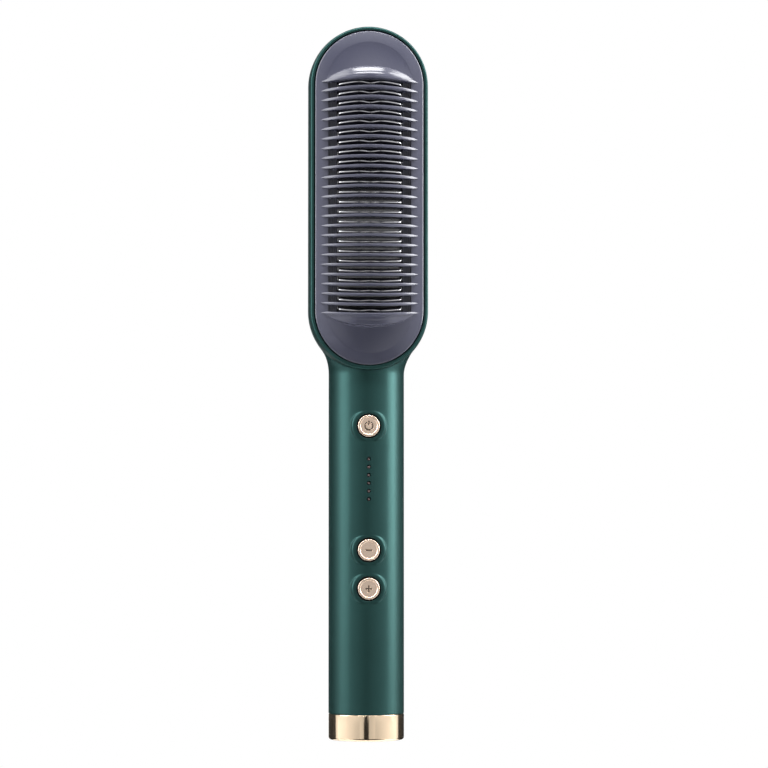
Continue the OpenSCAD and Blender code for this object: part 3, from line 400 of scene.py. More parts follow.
def handle_front(m):
    """The front half of the handle and neck: bands of skin round the three pads and the six indicators."""
    pad_q, led_q = 31.37, 6.055     # where the borders of a pad and of an indicator stand round the handle
    half_pad, half_led = 7.4, 1.54
    seam = pad_q + (90 - pad_q) * (1 - (1 - np.linspace(0, 1, 15)) ** 2)
    inner = np.linspace(led_q, pad_q, 10)
    centre = np.linspace(-led_q, led_q, 7)
    bands = [-seam[::-1], -inner[::-1], centre, inner, seam]
    sheets = []

    def plain(z, columns=bands):
        for q in columns:
            sheets.append((*front_skin(m, q, z[:, None]), False))

    start = m.skirt_top + SEAM_STEPS
    plain(np.concatenate([start, np.linspace(start[-1], m.plus_z - half_pad, 20)[1:]]))
    around_pad = np.concatenate([-inner[::-1], centre[1:-1], inner])
    for centre_z in (m.plus_z, m.minus_z, m.power_z):
        z = np.linspace(centre_z - half_pad, centre_z + half_pad, 25)
        plain(z, (bands[0], bands[4]))
        sheets.append((*patch(m, centre_z, around_pad, z, pad_rings, m.hole_r), True))
    plain(np.linspace(m.minus_z + half_pad, m.led_z[-1] - half_led, 6))
    for centre_z in m.led_z:
        z = np.linspace(centre_z - half_led, centre_z + half_led, 7)
        plain(z, bands[:2] + bands[3:])
        sheets.append((*patch(m, centre_z, centre, z, led_rings, m.led_hole_r), True))
    plain(np.linspace(m.led_z[0] + half_led, m.power_z - half_pad, 3))
    plain(np.linspace(m.power_z + half_pad, m.neck_z, 7))

    # the neck's skin ends inside the head, 1.2 mm behind its outer face
    curl = 90 + CURL * (1 - (1 - np.linspace(0, 1, 12)) ** 2)
    levels = np.linspace(m.neck_z, m.low_z, 400)[:, None]
    for q in [-curl[::-1], *bands, curl]:
        x = front_point(m, q, levels, 0.0)[..., 0]
        inside = np.hypot(x, m.low_z - levels) <= m.head_r - 1.2
        inside[-1] = True
        end = np.where(np.abs(q) >= 90, m.low_z, levels[np.argmax(inside, axis=0), 0])
        z = m.neck_z + (end - m.neck_z) * np.linspace(0, 1, 31)[:, None]
        sheets.append((*front_skin(m, q, z), False))

    skin, quads = join([surface(outer, wrap_cols=wrapped) for outer, _, wrapped in sheets])
    return thickened(skin, np.concatenate([inner.reshape(-1, 3) for _, inner, _ in sheets]), quads)


def head_path(m, arc=64):
    """The way round the head: height of the spine's nearest point, and the outward direction (x, z).

    The ring just above the lower end keeps the shading of the round end off the straight side.
    """
    run = 10
    angle = np.linspace(0, np.pi, arc + 1)
    down = np.append(np.linspace(m.high_z, m.low_z, run + 1)[1:-1], m.low_z + 0.05)
    centre = np.concatenate([np.full(arc + 1, m.high_z), down, np.full(arc + 1, m.low_z), down[::-1]])
    turn = np.concatenate([angle, np.full(run, np.pi), angle + np.pi, np.full(run, 2 * np.pi)])
    return centre, np.cos(turn), np.sin(turn)


def around_head(m, profile, arc=64):
    """A closed (outward, forward) profile carried round the head's outline, the same or one per step."""
    centre, across, along = head_path(m, arc)
    out, forward = np.broadcast_to(profile, (len(centre), *np.shape(profile)[-2:])).transpose(2, 0, 1)
    return surface(spots(across[:, None] * out, forward, centre[:, None] + along[:, None] * out), True, True)


def head_front(m):
    """The head's front shell: bowl, wall and rounded rim, then the opening's wall, the ledge and the inside.

    Round the lower end only the ring in front of the neck is kept, so its points behind the neck's
    widest line are drawn up to that line and a little inwards.
    """

    def bowl(radius, share):
        angle = math.asin(m.wide_f / radius) * share
        return np.stack([radius * np.cos(angle), m.wide_f - radius * np.sin(angle)], axis=-1)

    outside = bowl(m.head_r, 1 - np.linspace(0, 1, 14) ** 1.6)
    outside[:, 0] -= seam_inset(m, outside[:, 1], m.high_z)
    inner_r, back_f = m.head_r - m.wall, m.ledge_f - 1.9
    front = rounded(
        [
            (m.head_r, m.wide_f + 0.4, 0),
            (m.head_r, m.wide_f + 3.2, 1.8),
            (m.head_r - 0.6, m.rim_f, 0.8),
            (m.open_r, m.rim_f, 0.16),
            (m.open_r, m.ledge_f, 0),
            (m.ledge_in_r, m.ledge_f, 0),
            (m.ledge_in_r, back_f, 0),
            (inner_r, back_f, 0),
        ],
        steps=8,
        closed=False,
    )
    profile = np.concatenate([outside, front, bowl(inner_r, np.linspace(0.06, 1, 8))])
    _, _, along = head_path(m)
    lower = (along < -1e-9)[:, None]
    line = m.wide_f - 0.6
    out = np.where(lower & (profile[:, 1] < line), np.minimum(profile[:, 0], m.head_r - 0.3), profile[:, 0])
    forward = np.where(lower, np.maximum(profile[:, 1], line), profile[:, 1])
    return around_head(m, np.stack([out, forward], axis=-1))


def rear_casing(m):
    """The casing's back half, as a skin over (way along the outline, way from the seam to the back).

    The outline runs up the right side, over the round top and down the left. From the seam the skin
    follows an ellipse to the middle of the back, which has the widest line's depth as its centre.
    """
    fine = m.skirt_top + SEAM_STEPS
    handle = np.linspace(fine[-1], m.neck_z, 50)[1:]
    neck = np.linspace(m.neck_z, m.low_z, 31)[1:]
    head = np.linspace(m.low_z, m.high_z, 16)[1:]
    up = np.concatenate([fine, handle, neck, head])
    turn = np.linspace(0, np.pi, 73)[1:-1]
    z = np.concatenate([up, np.full(len(turn), m.high_z), up[::-1]])
    turn = np.concatenate([np.zeros(len(up)), turn, np.full(len(up), np.pi)])
    across = np.where(np.abs(np.cos(turn)) > 1 - 1e-12, np.sign(np.cos(turn)), np.cos(turn))[:, None]
    rise = np.where((turn > 0) & (turn < np.pi), np.sin(turn), 0)[:, None]
    t = np.concatenate([[0, 0.004, 0.01, 0.018, 0.03], np.linspace(0.05, 1, 26)])[None, :]

    def skin(depth):
        width = half_width(m, z)[:, None] - depth
        spine = spine_depth(m, z)[:, None]
        reach = m.handle_r - depth + spine
        seam = np.arcsin(spine / reach)
        angle = seam + (np.pi / 2 - seam) * t
        out = np.where(t < 1, width * np.cos(angle), 0)
        return spots(across * out, spine - reach * np.sin(angle), z[:, None] + rise * out)

    plain = skin(0.0)
    inset = seam_inset(m, plain[..., 1], z[:, None])
    quads = grid_quads(*plain.shape[:2])
    return thickened(skin(inset).reshape(-1, 3), skin(m.wall).reshape(-1, 3), quads)


# ---------------------------------------------------------------- comb and heated fins


def slope_f(m, x):
    """Depth of the comb's sloping border at distance x from the head's middle line."""
    return m.slope_high_f - m.slope_rise * (np.abs(x) - m.slope_in_r) / m.slope_run


def leaning(m, place, side, forward):
    """Leans (along the head, forward) points of fin number place about its foot, outwards from the middle."""
    lean = math.radians(m.fan * place / (m.gaps / 2))
    rise = forward - m.foot_f
    z = m.mid_z + place * m.pitch + side * math.cos(lean) + rise * math.sin(lean)
    return z, m.foot_f - side * math.sin(lean) + rise * math.cos(lean)


def fin(m, place, x, half_t, crest, base, root_f, root_t, edge, bend=0.0):
    """A fin as a tube along x: a foot, straight sides and a rounded crest, at each x of its own height.

    Bend shifts it along the head, in proportion to the height above its foot.
    """
    edge = np.minimum(np.minimum(edge, half_t), 0.45 * (crest - base))
    turn = np.linspace(np.pi, 0, 9)
    side = [-root_t, -root_t, -half_t]
    side += [(half_t - edge) * np.sign(np.cos(a)) + edge * np.cos(a) for a in turn]
    side += [half_t, root_t, root_t]
    forward = [base, root_f, root_f, *(crest - edge + edge * np.sin(a) for a in turn), root_f, root_f, base]
    side, forward = np.stack(side, axis=-1), np.stack(forward, axis=-1)
    z, f = leaning(m, place, side + bend * np.maximum(forward - m.foot_f + 1, 0), forward)
    return tube(spots(x[:, None], f, z))


def comb_fin(m, place):
    """One of the comb's fins: its crest is an arch over the whole width, and its tips end on the slope."""
    half_t, root_t, tip_run = 0.55, 0.75, 2.2
    x = spread(m.arch_r, 73)
    crest = m.foot_f + (m.crest_f - m.foot_f) * bell(x, m.arch_r, 1.0)
    on_floor = np.abs(x) < m.slope_in_r
    base = np.where(on_floor, m.base_f, slope_f(m, x) - 0.5)
    root_f = np.where(on_floor, m.floor_f, base + 0.1)
    half = half_t * (0.4 + 0.6 * smooth_step((m.arch_r - np.abs(x)) / tip_run))
    return fin(m, place, x, half, crest, base, root_f, np.where(on_floor, root_t, half), 0.25)


def end_dome(m, side):
    """The dome that closes an end of the comb: a hollow ramp up from a half circle, a steep rise and a crown.

    With s from 0 at the half circle to 1 at the last fin, its height is 0.3 (s / 0.7)^1.3 of the rise up
    to s = 0.7, then a steep rise of 0.48, a slant of 0.13 and a rounding of 0.09 up to the fin's crest.
    """
    reach = m.slope_in_r + 0.6
    x = spread(0.994 * reach, 61)
    crest = m.foot_f + (m.crest_f - m.foot_f) * bell(x, m.arch_r, 1.25)
    start_z, start_f = leaning(m, m.gaps / 2, np.full_like(x, 0.1), crest)
    edge_z = m.high_z + np.sqrt(reach**2 - x**2)
    low_f = m.slope_high_f - 0.1
    runs = (1, 0.76, 20), (0.76, 0.67, 20), (0.67, 0, 24)
    s = np.concatenate([np.linspace(*run)[k > 0:] for k, run in enumerate(runs)])
    height = 0.3 * (np.minimum(s, 0.7) / 0.7) ** 1.3
    height += 0.48 * smooth_step((s - 0.685) / 0.06) + 0.13 * np.clip((s - 0.73) / 0.138, 0, 1)
    height += 0.09 * np.sin(np.pi / 2 * np.clip((s - 0.86) / 0.14, 0, 1))
    z = edge_z[:, None] + (start_z - edge_z)[:, None] * s
    z = np.concatenate([z, edge_z[:, None], start_z[:, None]], axis=1)
    if side < 0:
        z = 2 * m.mid_z - z
    f = low_f + (start_f - low_f)[:, None] * height
    return tube(spots(x[:, None], np.concatenate([f, np.full((len(x), 2), m.base_f)], axis=1), z))


def floor_strip(m, side):
    """The comb's floor beside the slots, run along the head: its top has fine ridges and rounded edges."""
    inner_x, outer_x, ridge, groove = 12.6, 16.1, 0.7, 0.3
    top_f = m.floor_f + 2.7
    corners = [(inner_x, m.base_f, 0), (inner_x, top_f, 0.2)]
    for x in np.arange(inner_x + groove, outer_x - groove, ridge):
        corners += [(x, top_f, 0.08), (x + 0.35, top_f, 0.08)]
        corners += [(x + 0.4, top_f - groove, 0.05), (x + 0.65, top_f - groove, 0.05)]
    profile = rounded([*corners, (outer_x, top_f, 0), (outer_x, m.base_f, 0)], steps=2)
    z = np.linspace(m.low_z - 1.3, m.high_z + 1.3, 24)[:, None]
    return tube(spots(side * profile[:, 0], profile[:, 1], z))


def comb_clip(m, side, z):
    """A clip under the comb: an arm along the ledge with a hook behind it, as an outline run up the head."""
    arm, low, outer = m.ledge_in_r - 1.2, m.ledge_f - 3.2, m.skirt_r - 0.4
    profile = rounded(
        [
            (arm, low, 0.2), (arm + 2.1, low, 0.3), (arm + 2.1, low + 1.2, 0.1), (arm + 1.1, low + 1.2, 0.1),
            (arm + 1.1, m.ledge_f + 0.9, 0.1), (outer, m.ledge_f + 0.9, 0), (outer, m.base_f, 0),
            (arm, m.base_f, 0),
        ],
        steps=3,
    )
    up = z + np.array([-3, -2.9, 2.9, 3])[:, None]
    shrink = np.array([0.08, 0, 0, 0.08])[:, None]
    middle = profile.mean(axis=0)
    x = side * (profile[:, 0] * (1 - shrink) + middle[0] * shrink)
    return tube(spots(x, profile[:, 1] * (1 - shrink) + middle[1] * shrink, up))


def comb_parts(m):
    """The comb: sloping border with its skirt, two floor strips, the fins, the end domes and the clips."""
    border = rounded(
        [
            (m.skirt_r, m.ledge_f + 0.8, 0.1),
            (m.skirt_r, m.slope_low_f - 0.3, 0.12),
            (m.skirt_r - 0.3, m.slope_low_f, 0.12),
            (m.slope_in_r, m.slope_high_f, 0.16),
            (m.slope_in_r, m.base_f, 0),
            (m.skirt_r - 1.5, m.base_f, 0),
            (m.skirt_r - 1.5, m.ledge_f + 0.8, 0.1),
        ],
        steps=4,
    )
    last = m.gaps // 2
    third = (m.high_z - m.low_z) / 3
    return [
        around_head(m, border, arc=72),
        *(floor_strip(m, side) for side in (-1, 1)),
        *(comb_fin(m, place) for place in range(-last, last + 1)),
        *(end_dome(m, side) for side in (-1, 1)),
        *(comb_clip(m, side, m.mid_z + k * third) for side in (-1, 1) for k in (-1, 0, 1)),
    ]


def heated_parts(m):
    """The heated plate: a fin in each gap with two humps along its crest, the plate, its lugs and posts.

    The crest's height is 1 - 0.55 (x / 12.4)^2 of the fin's, less a hollow of 2.2 mm in the middle.
    """
    reach = 12.2
    x = spread(reach, 61)
    foot = m.floor_f + 0.6
    rise = m.crest_f - 3.1 - foot + 0.6
    crest = foot + rise * (1 - 0.55 * (x / 12.4) ** 2) - 2.2 * np.exp(-((x / 2.6) ** 2))
    crest -= 0.5 * (1 - smooth_step((reach - np.abs(x)) / 0.5))
    half = 0.42 - 0.15 * (1 - smooth_step((reach - np.abs(x)) / 0.4))
    low = np.full_like(x, m.floor_f - 4.3)
    plate_f, plate_t = m.floor_f - 3.3, 2
    parts = []
    for place in np.arange(m.gaps) - (m.gaps - 1) / 2:
        bend = 0.11 * math.tanh((place - 2) / 3)
        parts.append(fin(m, place, x, half, crest, low, low + 0.5, half, 0.3, bend))
        z = m.mid_z + place * m.pitch
        for nub_x in (-reach - 0.05, reach + 0.05):
            parts.append(plate(0.24, 0.62, low[0], m.foot_f + 0.5, 0.2, 0.12, nub_x, z, 3))
    half_l = m.gaps * m.pitch / 2 + 1.1
    parts.append(plate(12.45, half_l, plate_f - plate_t, plate_f, 0.8, 0.3, z=m.mid_z))
    lug_x, hole_r, lug_r = m.ledge_in_r - 4, 1.0, 2.3
    ring = [(hole_r, plate_f - plate_t), (lug_r, plate_f - plate_t), (lug_r, plate_f), (hole_r, plate_f)]
    for side in (-1, 1):
        for share in (-0.375, -0.125, 0.125, 0.375):
            z = m.mid_z + share * m.gaps * m.pitch
            parts.append(turned(ring, 40, side * lug_x, z, closed=True))
            parts.append(plate(0.85, 2.2, plate_f - 1.9, plate_f - 0.1, 0.4, 0.2, side * (lug_x - 1.9), z))
    return parts


# ---------------------------------------------------------------- buttons and indicators


def sign_distance(kind, x, z):
    """Distance in mm from a point of the face to the nearest edge of its sign, negative inside the sign."""

    def bar(half_x, half_z, up=0.0):
        return np.maximum(np.abs(x) - half_x, np.abs(z - up) - half_z)

    arm, half_t = 1.3, 0.25
    if kind == "minus":
        return bar(arm, half_t)
    if kind == "plus":
        return np.minimum(bar(arm, half_t), bar(half_t, arm))
    ring = np.abs(np.hypot(x, z) - 1.5) - half_t
    ring = np.maximum(ring, -bar(0.65, 0.9, 1.75))
    return np.minimum(ring, bar(half_t, 0.875, 1.14))


def button_parts(m, centre_z, kind):
    """A button: a fine face with its sunk sign, a raised rim, the side, the flange and the nub behind.

    The face is a square grid drawn onto a disc, x = u sqrt(1 - v^2 / 2) and the same for z, so that
    its border is the first ring of the turned profile.
    """
    rim_r, flange_r, nub_r = m.button_r - 1.02, m.button_r + 0.95, 1.6
    u = np.linspace(-1, 1, 109)
    u, v = np.meshgrid(u, u, indexing="ij")
    x = rim_r * u * np.sqrt(1 - v**2 / 2)
    z = rim_r * v * np.sqrt(1 - u**2 / 2)
    sunk = 0.2 + 0.3 * (1 - smooth_step(sign_distance(kind, x, z) / 0.16 + 0.5))
    points = spots(x, m.face_f - sunk, centre_z + z)
    border = np.concatenate([points[:-1, 0], points[-1, :-1], points[:0:-1, -1], points[0, :0:-1]])
    angle = np.arctan2(border[:, 2] - centre_z, border[:, 0])
    profile = rounded(
        [
            (rim_r, m.face_f - 0.2, 0),
            (m.button_r - 0.93, m.face_f - 0.16, 0.04),
            (m.button_r - 0.82, m.face_f, 0.09),
            (m.button_r, m.face_f, 0.3),
            (m.button_r, m.guide_f - 0.1, 0),
            (flange_r, m.guide_f - 0.1, 0.1),
            (flange_r, m.guide_f - 0.9, 0.1),
            (nub_r, m.guide_f - 0.9, 0),
            (nub_r, m.guide_f - 1.3, 0.1),
            (0, m.guide_f - 1.3, 0),
        ],
        steps=6,
        closed=False,
    )
    radius, f = profile[:, :1], profile[:, 1:]
    rings = spots(radius * np.cos(angle), f, centre_z + radius * np.sin(angle))
    rings[0] = border
    side, quads = surface(rings, wrap_cols=True)
    return [join([surface(points), (side, quads[:, ::-1])])]


def indicator_parts(m):
    """The clear bar behind the indicators, its six pins with domed tips, and the legs towards the lamps."""
    back_f, tip, pin_r, leg_r = m.guide_f - 0.5, m.handle_r - 0.2, 0.56, 1.0
    half = (m.led_z[0] - m.led_z[-1] + 4.4) / 2
    bar_z = (m.led_z[0] + m.led_z[-1]) / 2
    parts = [plate(2.5, half, m.guide_f - 1, m.guide_f, 0.6, 0.15, z=bar_z)]
    dome = np.linspace(0, np.pi / 2, 7)
    pin = [(0, back_f), (0.7, back_f), (0.7, tip - 1.2), (pin_r, tip - 0.6)]
    pin += [(pin_r * np.cos(a), tip - 0.45 + 0.35 * np.sin(a)) for a in dome]
    leg = [(0, m.guide_f - 2.34), (leg_r, m.guide_f - 2.34), (leg_r, back_f), (0, back_f)]
    return parts + [turned(profile, 32, z=z) for z in m.led_z for profile in (pin, leg)]


# ---------------------------------------------------------------- end cap and cord inlet


def cap_parts(m):
    """The plated end cap: a turned cup with a rounded lower edge and a hole for the cord inlet."""
    hole_r, top, inner_r, floor = 7.25, m.skirt_top - 0.1, m.handle_r - 1.6, 2.8
    corners = [(hole_r, 0, 0.3), (m.handle_r, 0, 1.2), (m.handle_r, top, 0.22)]
    corners += [(inner_r, top, 0.15), (inner_r, floor, 0.3), (hole_r, floor, 0.2)]
    return [turned(rounded(corners, steps=12), 160, upright=True, closed=True)]


def swivel_parts():
    """The turning cord inlet: a turned sleeve with grooves for the slip rings and a head that holds it in."""
    bore_r, sleeve_r, groove_r, head_r = 3.3, 7, 6.2, 8.06
    corners = [(bore_r, 0, 0.6), (sleeve_r, 0, 0.5)]
    for z in (7.5, 12.5):
        corners += [(sleeve_r, z - 1, 0), (groove_r, z - 1, 0), (groove_r, z + 1, 0), (sleeve_r, z + 1, 0)]
    corners += [(sleeve_r, 20.1, 0), (head_r, 20.1, 0.1), (head_r, 21.5, 0.2), (bore_r, 21.5, 0.3)]
    return [turned(rounded(corners), upright=True, closed=True)]


# ---------------------------------------------------------------- finishes


class Value:
    """A number on a node's socket. An expression on it adds the Math nodes that work it out."""

    def __init__(self, nodes, socket):
        self.nodes = nodes
        self.socket = socket

    def maths(self, operation, *others, clamp=False):
        """What a Math node makes of this number and the others."""
        settings = {"operation": operation, "use_clamp": clamp}
        inputs = dict(enumerate((self, *others)))
        return self.nodes.value(0, "ShaderNodeMath", settings, inputs)

    def __add__(self, other):
        return self.maths("ADD", other)

    def __sub__(self, other):
        return self.maths("SUBTRACT", other)

    def __rsub__(self, other):
        return (self * -1) + other

    def __mul__(self, other):
        return self.maths("MULTIPLY", other)

    def __pow__(self, other):
        return self.maths("POWER", other)

    __radd__ = __add__
    __rmul__ = __mul__

    def clamped(self):
        """The number kept between 0 and 1."""
        return self.maths("ADD", 0.0, clamp=True)


class Nodes:
    """A node tree in the making, of a material or of the world."""

    def __init__(self, owner):
        owner.use_nodes = True
        self.tree = owner.node_tree
        self.tree.nodes.clear()

    def node(self, kind, settings=None, inputs=None):
        """Adds a node: its settings first, then the value or link of each input, by name or number."""
        made = self.tree.nodes.new(kind)
        for key, value in (settings or {}).items():
            setattr(made, key, value)
        for key, value in (inputs or {}).items():
            value = getattr(value, "socket", value)
            if isinstance(value, bpy.types.NodeSocket):
                self.tree.links.new(value, made.inputs[key])
            else:
                made.inputs[key].default_value = value
        return made

    def value(self, output, kind, settings=None, inputs=None):
        """Adds a node and gives its output, by name or number, for expressions."""
        return Value(self, self.node(kind, settings, inputs).outputs[output])

    def blend(self, factor, first, second):
        """The first colour where factor is 0, the second where it is 1."""
        inputs = {0: factor, 6: rgba(first), 7: rgba(second)}
        return self.value(2, "ShaderNodeMix", {"data_type": "RGBA"}, inputs)

    def step(self, value, low, high):
        """0 where value is below low, 1 above high, and a smooth rise between."""
        inputs = {"Value": value, "From Min": low, "From Max": high}
        return self.value(0, "ShaderNodeMapRange", {"interpolation_type": "SMOOTHSTEP"}, inputs)

    def end(self, shader, kind="ShaderNodeOutputMaterial"):
        """Ends the tree with a shader."""
        self.node(kind, inputs={"Surface": shader.outputs[0]})


class Finish(Nodes):
    """A material in the making: patterns over its piece, and a surface that takes what varies over it."""

    def __init__(self, name):
        self.material = bpy.data.materials.new(name)
        super().__init__(self.material)
        self.place = self.node("ShaderNodeTexCoord").outputs["Object"]

    def stretched(self, stretch):
        """The place, in metres, with each axis multiplied."""
        return self.node("ShaderNodeMapping", inputs={"Vector": self.place, "Scale": stretch}).outputs[0]

    def noise(self, scale, detail=2.0, roughness=0.5, stretch=(1, 1, 1)):
        """Noise from 0 to 1 with scale cells to the metre, stretched along the axes."""
        inputs = {"Vector": self.stretched(stretch), "Scale": scale, "Detail": detail, "Roughness": roughness}
        return self.value(0, "ShaderNodeTexNoise", inputs=inputs)

    def cells(self, scale, feature="F1", stretch=(1, 1, 1)):
        """Distance to the nearest of scattered points, or to the nearest border between their cells."""
        inputs = {"Vector": self.stretched(stretch), "Scale": scale}
        return self.value("Distance", "ShaderNodeTexVoronoi", {"feature": feature}, inputs)

    def axis(self, name):
        """One coordinate of the place, in metres."""
        return self.value(name, "ShaderNodeSeparateXYZ", inputs={0: self.place})

    def shades(self, factor, colour, dark, light):
        """A colour made darker where factor is 0 and lighter where it is 1."""
        return self.blend(factor, tint(colour, dark), tint(colour, light))

    def bump(self, height, depth):
        """Normals of a relief whose height runs from 0 to 1 and whose depth is in metres."""
        return self.node("ShaderNodeBump", inputs={"Height": height, "Distance": depth}).outputs[0]

    def surface(self, **inputs):
        """Ends the material with a Principled BSDF; names use _ for a space."""
        named = {key.replace("_", " "): value for key, value in inputs.items()}
        self.end(self.node("ShaderNodeBsdfPrincipled", inputs=named))
        return self.material

    def glow(self, colour):
        """Ends the material with a light of its own."""
        self.end(self.node("ShaderNodeEmission", inputs={"Color": colour}))
        return self.material


def rgba(colour):
    """A plain colour as red, green, blue, alpha; a linked one as it is."""
    return (*colour, 1.0) if isinstance(colour, tuple) else colour


def grey(light):
    """A grey of that light."""
    return light, light, light


def linear(red, green, blue):
    """A colour given as 0 to 255 on screen, as the light values that a shader takes."""
    share = np.array([red, green, blue]) / 255
    return tuple(np.where(share <= 0.04045, share / 12.92, ((share + 0.055) / 1.055) ** 2.4).tolist())


def tint(colour, share):
    """A colour made lighter or darker by a share."""
    return tuple(min(1.0, part * share) for part in colour)


def casing_finish(colour):
    """Satin lacquer over the metal casing: slow changes of tone, a fine orange-peel and faint flecks."""
    finish = Finish("casing_lacquer")
    slow, peel = finish.noise(38), finish.noise(900)
    fine = finish.noise(2600, roughness=0.55)
    base = finish.shades(slow, colour, 0.9, 1.1)
    base = finish.blend(finish.step(fine, 0.55, 0.8) * 0.25, base, tint(colour, 1.5))
    return finish.surface(
        Base_Color=base,
        Metallic=0.7,
        Roughness=slow * 0.06 + peel * 0.06 + 0.32,
        Specular_IOR_Level=0.25,
        Normal=finish.bump(peel + fine * 0.3, 0.000012),
    )


def comb_finish(colour):
    """Heat-resistant moulded plastic: a fine spark-eroded grain, and slight changes of tone."""
    finish = Finish("comb_plastic")
    grain = finish.noise(3800, 3, 0.6)
    base = finish.shades(finish.noise(60), colour, 0.92, 1.08)
    return finish.surface(
        Base_Color=finish.blend(grain * 0.5, base, tint(colour, 1.25)),
        Roughness=grain * 0.08 + 0.15,
        Normal=finish.bump(grain, 0.000015),
    )


def heated_finish(colour):
    """Coated aluminium of the heated fins: fine grinding lines across each fin, and a soft grey haze."""
    finish = Finish("heated_aluminium")
    lines = finish.noise(5200, 3, 0.6, (0.06, 1, 1))
    haze = finish.noise(300, 3, 0.6)
    return finish.surface(
        Base_Color=finish.shades(haze, colour, 0.82, 1.08),
        Metallic=1.0,
        Roughness=lines * 0.1 + haze * 0.05 + 0.15,
        Normal=finish.bump(lines, 0.00001),
    )


def plating_finish(name, colour, gloss, line_scale, painted_shade_y=None):
    """Champagne plating: almost smooth, with faint polishing lines round the part and slow changes of tone.

    Given a depth in metres, what lies behind it, such as a sunk sign, is painted darker as shade.
    """
    finish = Finish(name)
    slow = finish.noise(90)
    lines = finish.noise(line_scale, 2, 0.6, (0.25, 0.25, 1))
    base = finish.shades(slow, colour, 0.96, 1.03)
    if painted_shade_y is not None:
        # painted shade: what lies behind the depth, the sunk sign, is darkened to a tenth of the colour
        sunk = finish.step(finish.axis("Y"), painted_shade_y, painted_shade_y + 0.00015)
        base = finish.blend(sunk * 0.8, base, tint(colour, 0.1))
    return finish.surface(
        Base_Color=base,
        Metallic=1.0,
        Roughness=lines * 0.06 + slow * 0.03 + gloss,
        Normal=finish.bump(lines, 0.000003),
    )


def plain_finish(slot, colour, roughness, grain, stretch=(1, 1, 1), depth=0.00001, **more):
    """A finish for the parts inside: mottled colour, and a grain that roughens and embosses it."""
    finish = Finish(slot)
    fine = finish.noise(grain, 3, 0.6, stretch)
    return finish.surface(
        Base_Color=finish.shades(finish.noise(160) * 0.6 + fine * 0.4, colour, 0.82, 1.15),
        Roughness=(fine * 0.16 + (roughness - 0.08)).clamped(),
        Normal=finish.bump(fine, depth),
        **more,
    )


def board_finish(slot, colour, copper):
    """Circuit board: green lacquer over copper tracks along the board and a fine woven glass."""
    finish = Finish(slot)
    tracks = finish.step(finish.cells(420, "DISTANCE_TO_EDGE", (1, 1, 0.35)), 0.03, 0.05)
    weave = finish.noise(3000)
    base = finish.shades(tracks, colour, 1.5, 0.8)
    return finish.surface(
        Base_Color=finish.blend(weave * 0.3, base, tint(copper, 0.5)),
        Roughness=weave * 0.1 + 0.3,
        Normal=finish.bump(1 - tracks + weave * 0.2, 0.00003),
    )


def indicator_finish(colour):
    """Tinted clear plastic of the indicators: slow changes of tone, with tiny bubbles."""
    finish = Finish("indicator_plastic")
    bubbles = finish.step(finish.cells(2600), 0.1, 0.3)
    haze = finish.noise(700)
    return finish.surface(
        Base_Color=finish.shades(bubbles * 0.5 + haze * 0.5, colour, 1.2, 0.85),
        Roughness=haze * 0.1 + 0.12,
        Coat_Weight=0.3,
        Normal=finish.bump(haze, 0.000004),
    )


POLISHED = {"Metallic": 1.0, "depth": 0.000006}
DRAWN = {**POLISHED, "stretch": (1, 1, 0.08)}
INNER_FINISHES = (
    # record slot, colour, roughness, grain to the metre, and what else the finish takes
    ("seal_rubber", (0.02, 0.02, 0.02), 0.75, 1500, {"depth": 0.00002}),
    ("heater_ceramic", (0.62, 0.6, 0.52), 0.7, 4200, {}),
    ("contact_metal", (0.78, 0.55, 0.24), 0.3, 3600, DRAWN),
    ("insulating_film", (0.6, 0.26, 0.04), 0.3, 900, {"Coat_Weight": 0.4}),
    ("spring_steel", (0.5, 0.5, 0.52), 0.34, 4000, DRAWN),
    ("screw_steel", (0.6, 0.6, 0.61), 0.3, 3000, POLISHED),
    ("heat_plastic", (0.035, 0.028, 0.024), 0.6, 1900, {}),
    ("fuse_body", (0.62, 0.6, 0.54), 0.55, 3600, {}),
    ("black_plastic", (0.006, 0.006, 0.007), 0.5, 2600, {"Specular_IOR_Level": 0.12}),
    ("switch_plastic", (0.03, 0.03, 0.032), 0.5, 2200, {}),
    ("led_plastic", (0.75, 0.68, 0.38), 0.2, 800, {"Coat_Weight": 0.5}),
    ("capacitor_film", (0.02, 0.08, 0.3), 0.25, 700, {"Coat_Weight": 0.6}),
    ("terminal_plastic", (0.7, 0.7, 0.66), 0.5, 2000, {}),
    ("red_insulation", (0.45, 0.02, 0.015), 0.5, 1700, {}),
    ("white_insulation", (0.72, 0.72, 0.7), 0.5, 1700, {}),
    ("brown_insulation", (0.09, 0.035, 0.015), 0.5, 1700, {}),
)


def inner_finishes():
    """A finish for each record slot of the parts that stay as they were packed."""
    made = {slot: plain_finish(slot, *looks, **more) for slot, *looks, more in INNER_FINISHES}
    made["board"] = board_finish("board", (0.012, 0.1, 0.035), (0.7, 0.35, 0.15))
    return made


# ---------------------------------------------------------------- properties


def length(name, description, default):
    """A size in metres that a user may change."""
    return FloatProperty(name=name, description=description, default=default, unit="LENGTH")


def paint(name, description, *screen):
    """A colour that a user may change, whose default is given as 0 to 255 on screen."""
    return FloatVectorProperty(
        name=name, description=description, default=linear(*screen), subtype="COLOR", min=0, max=1)


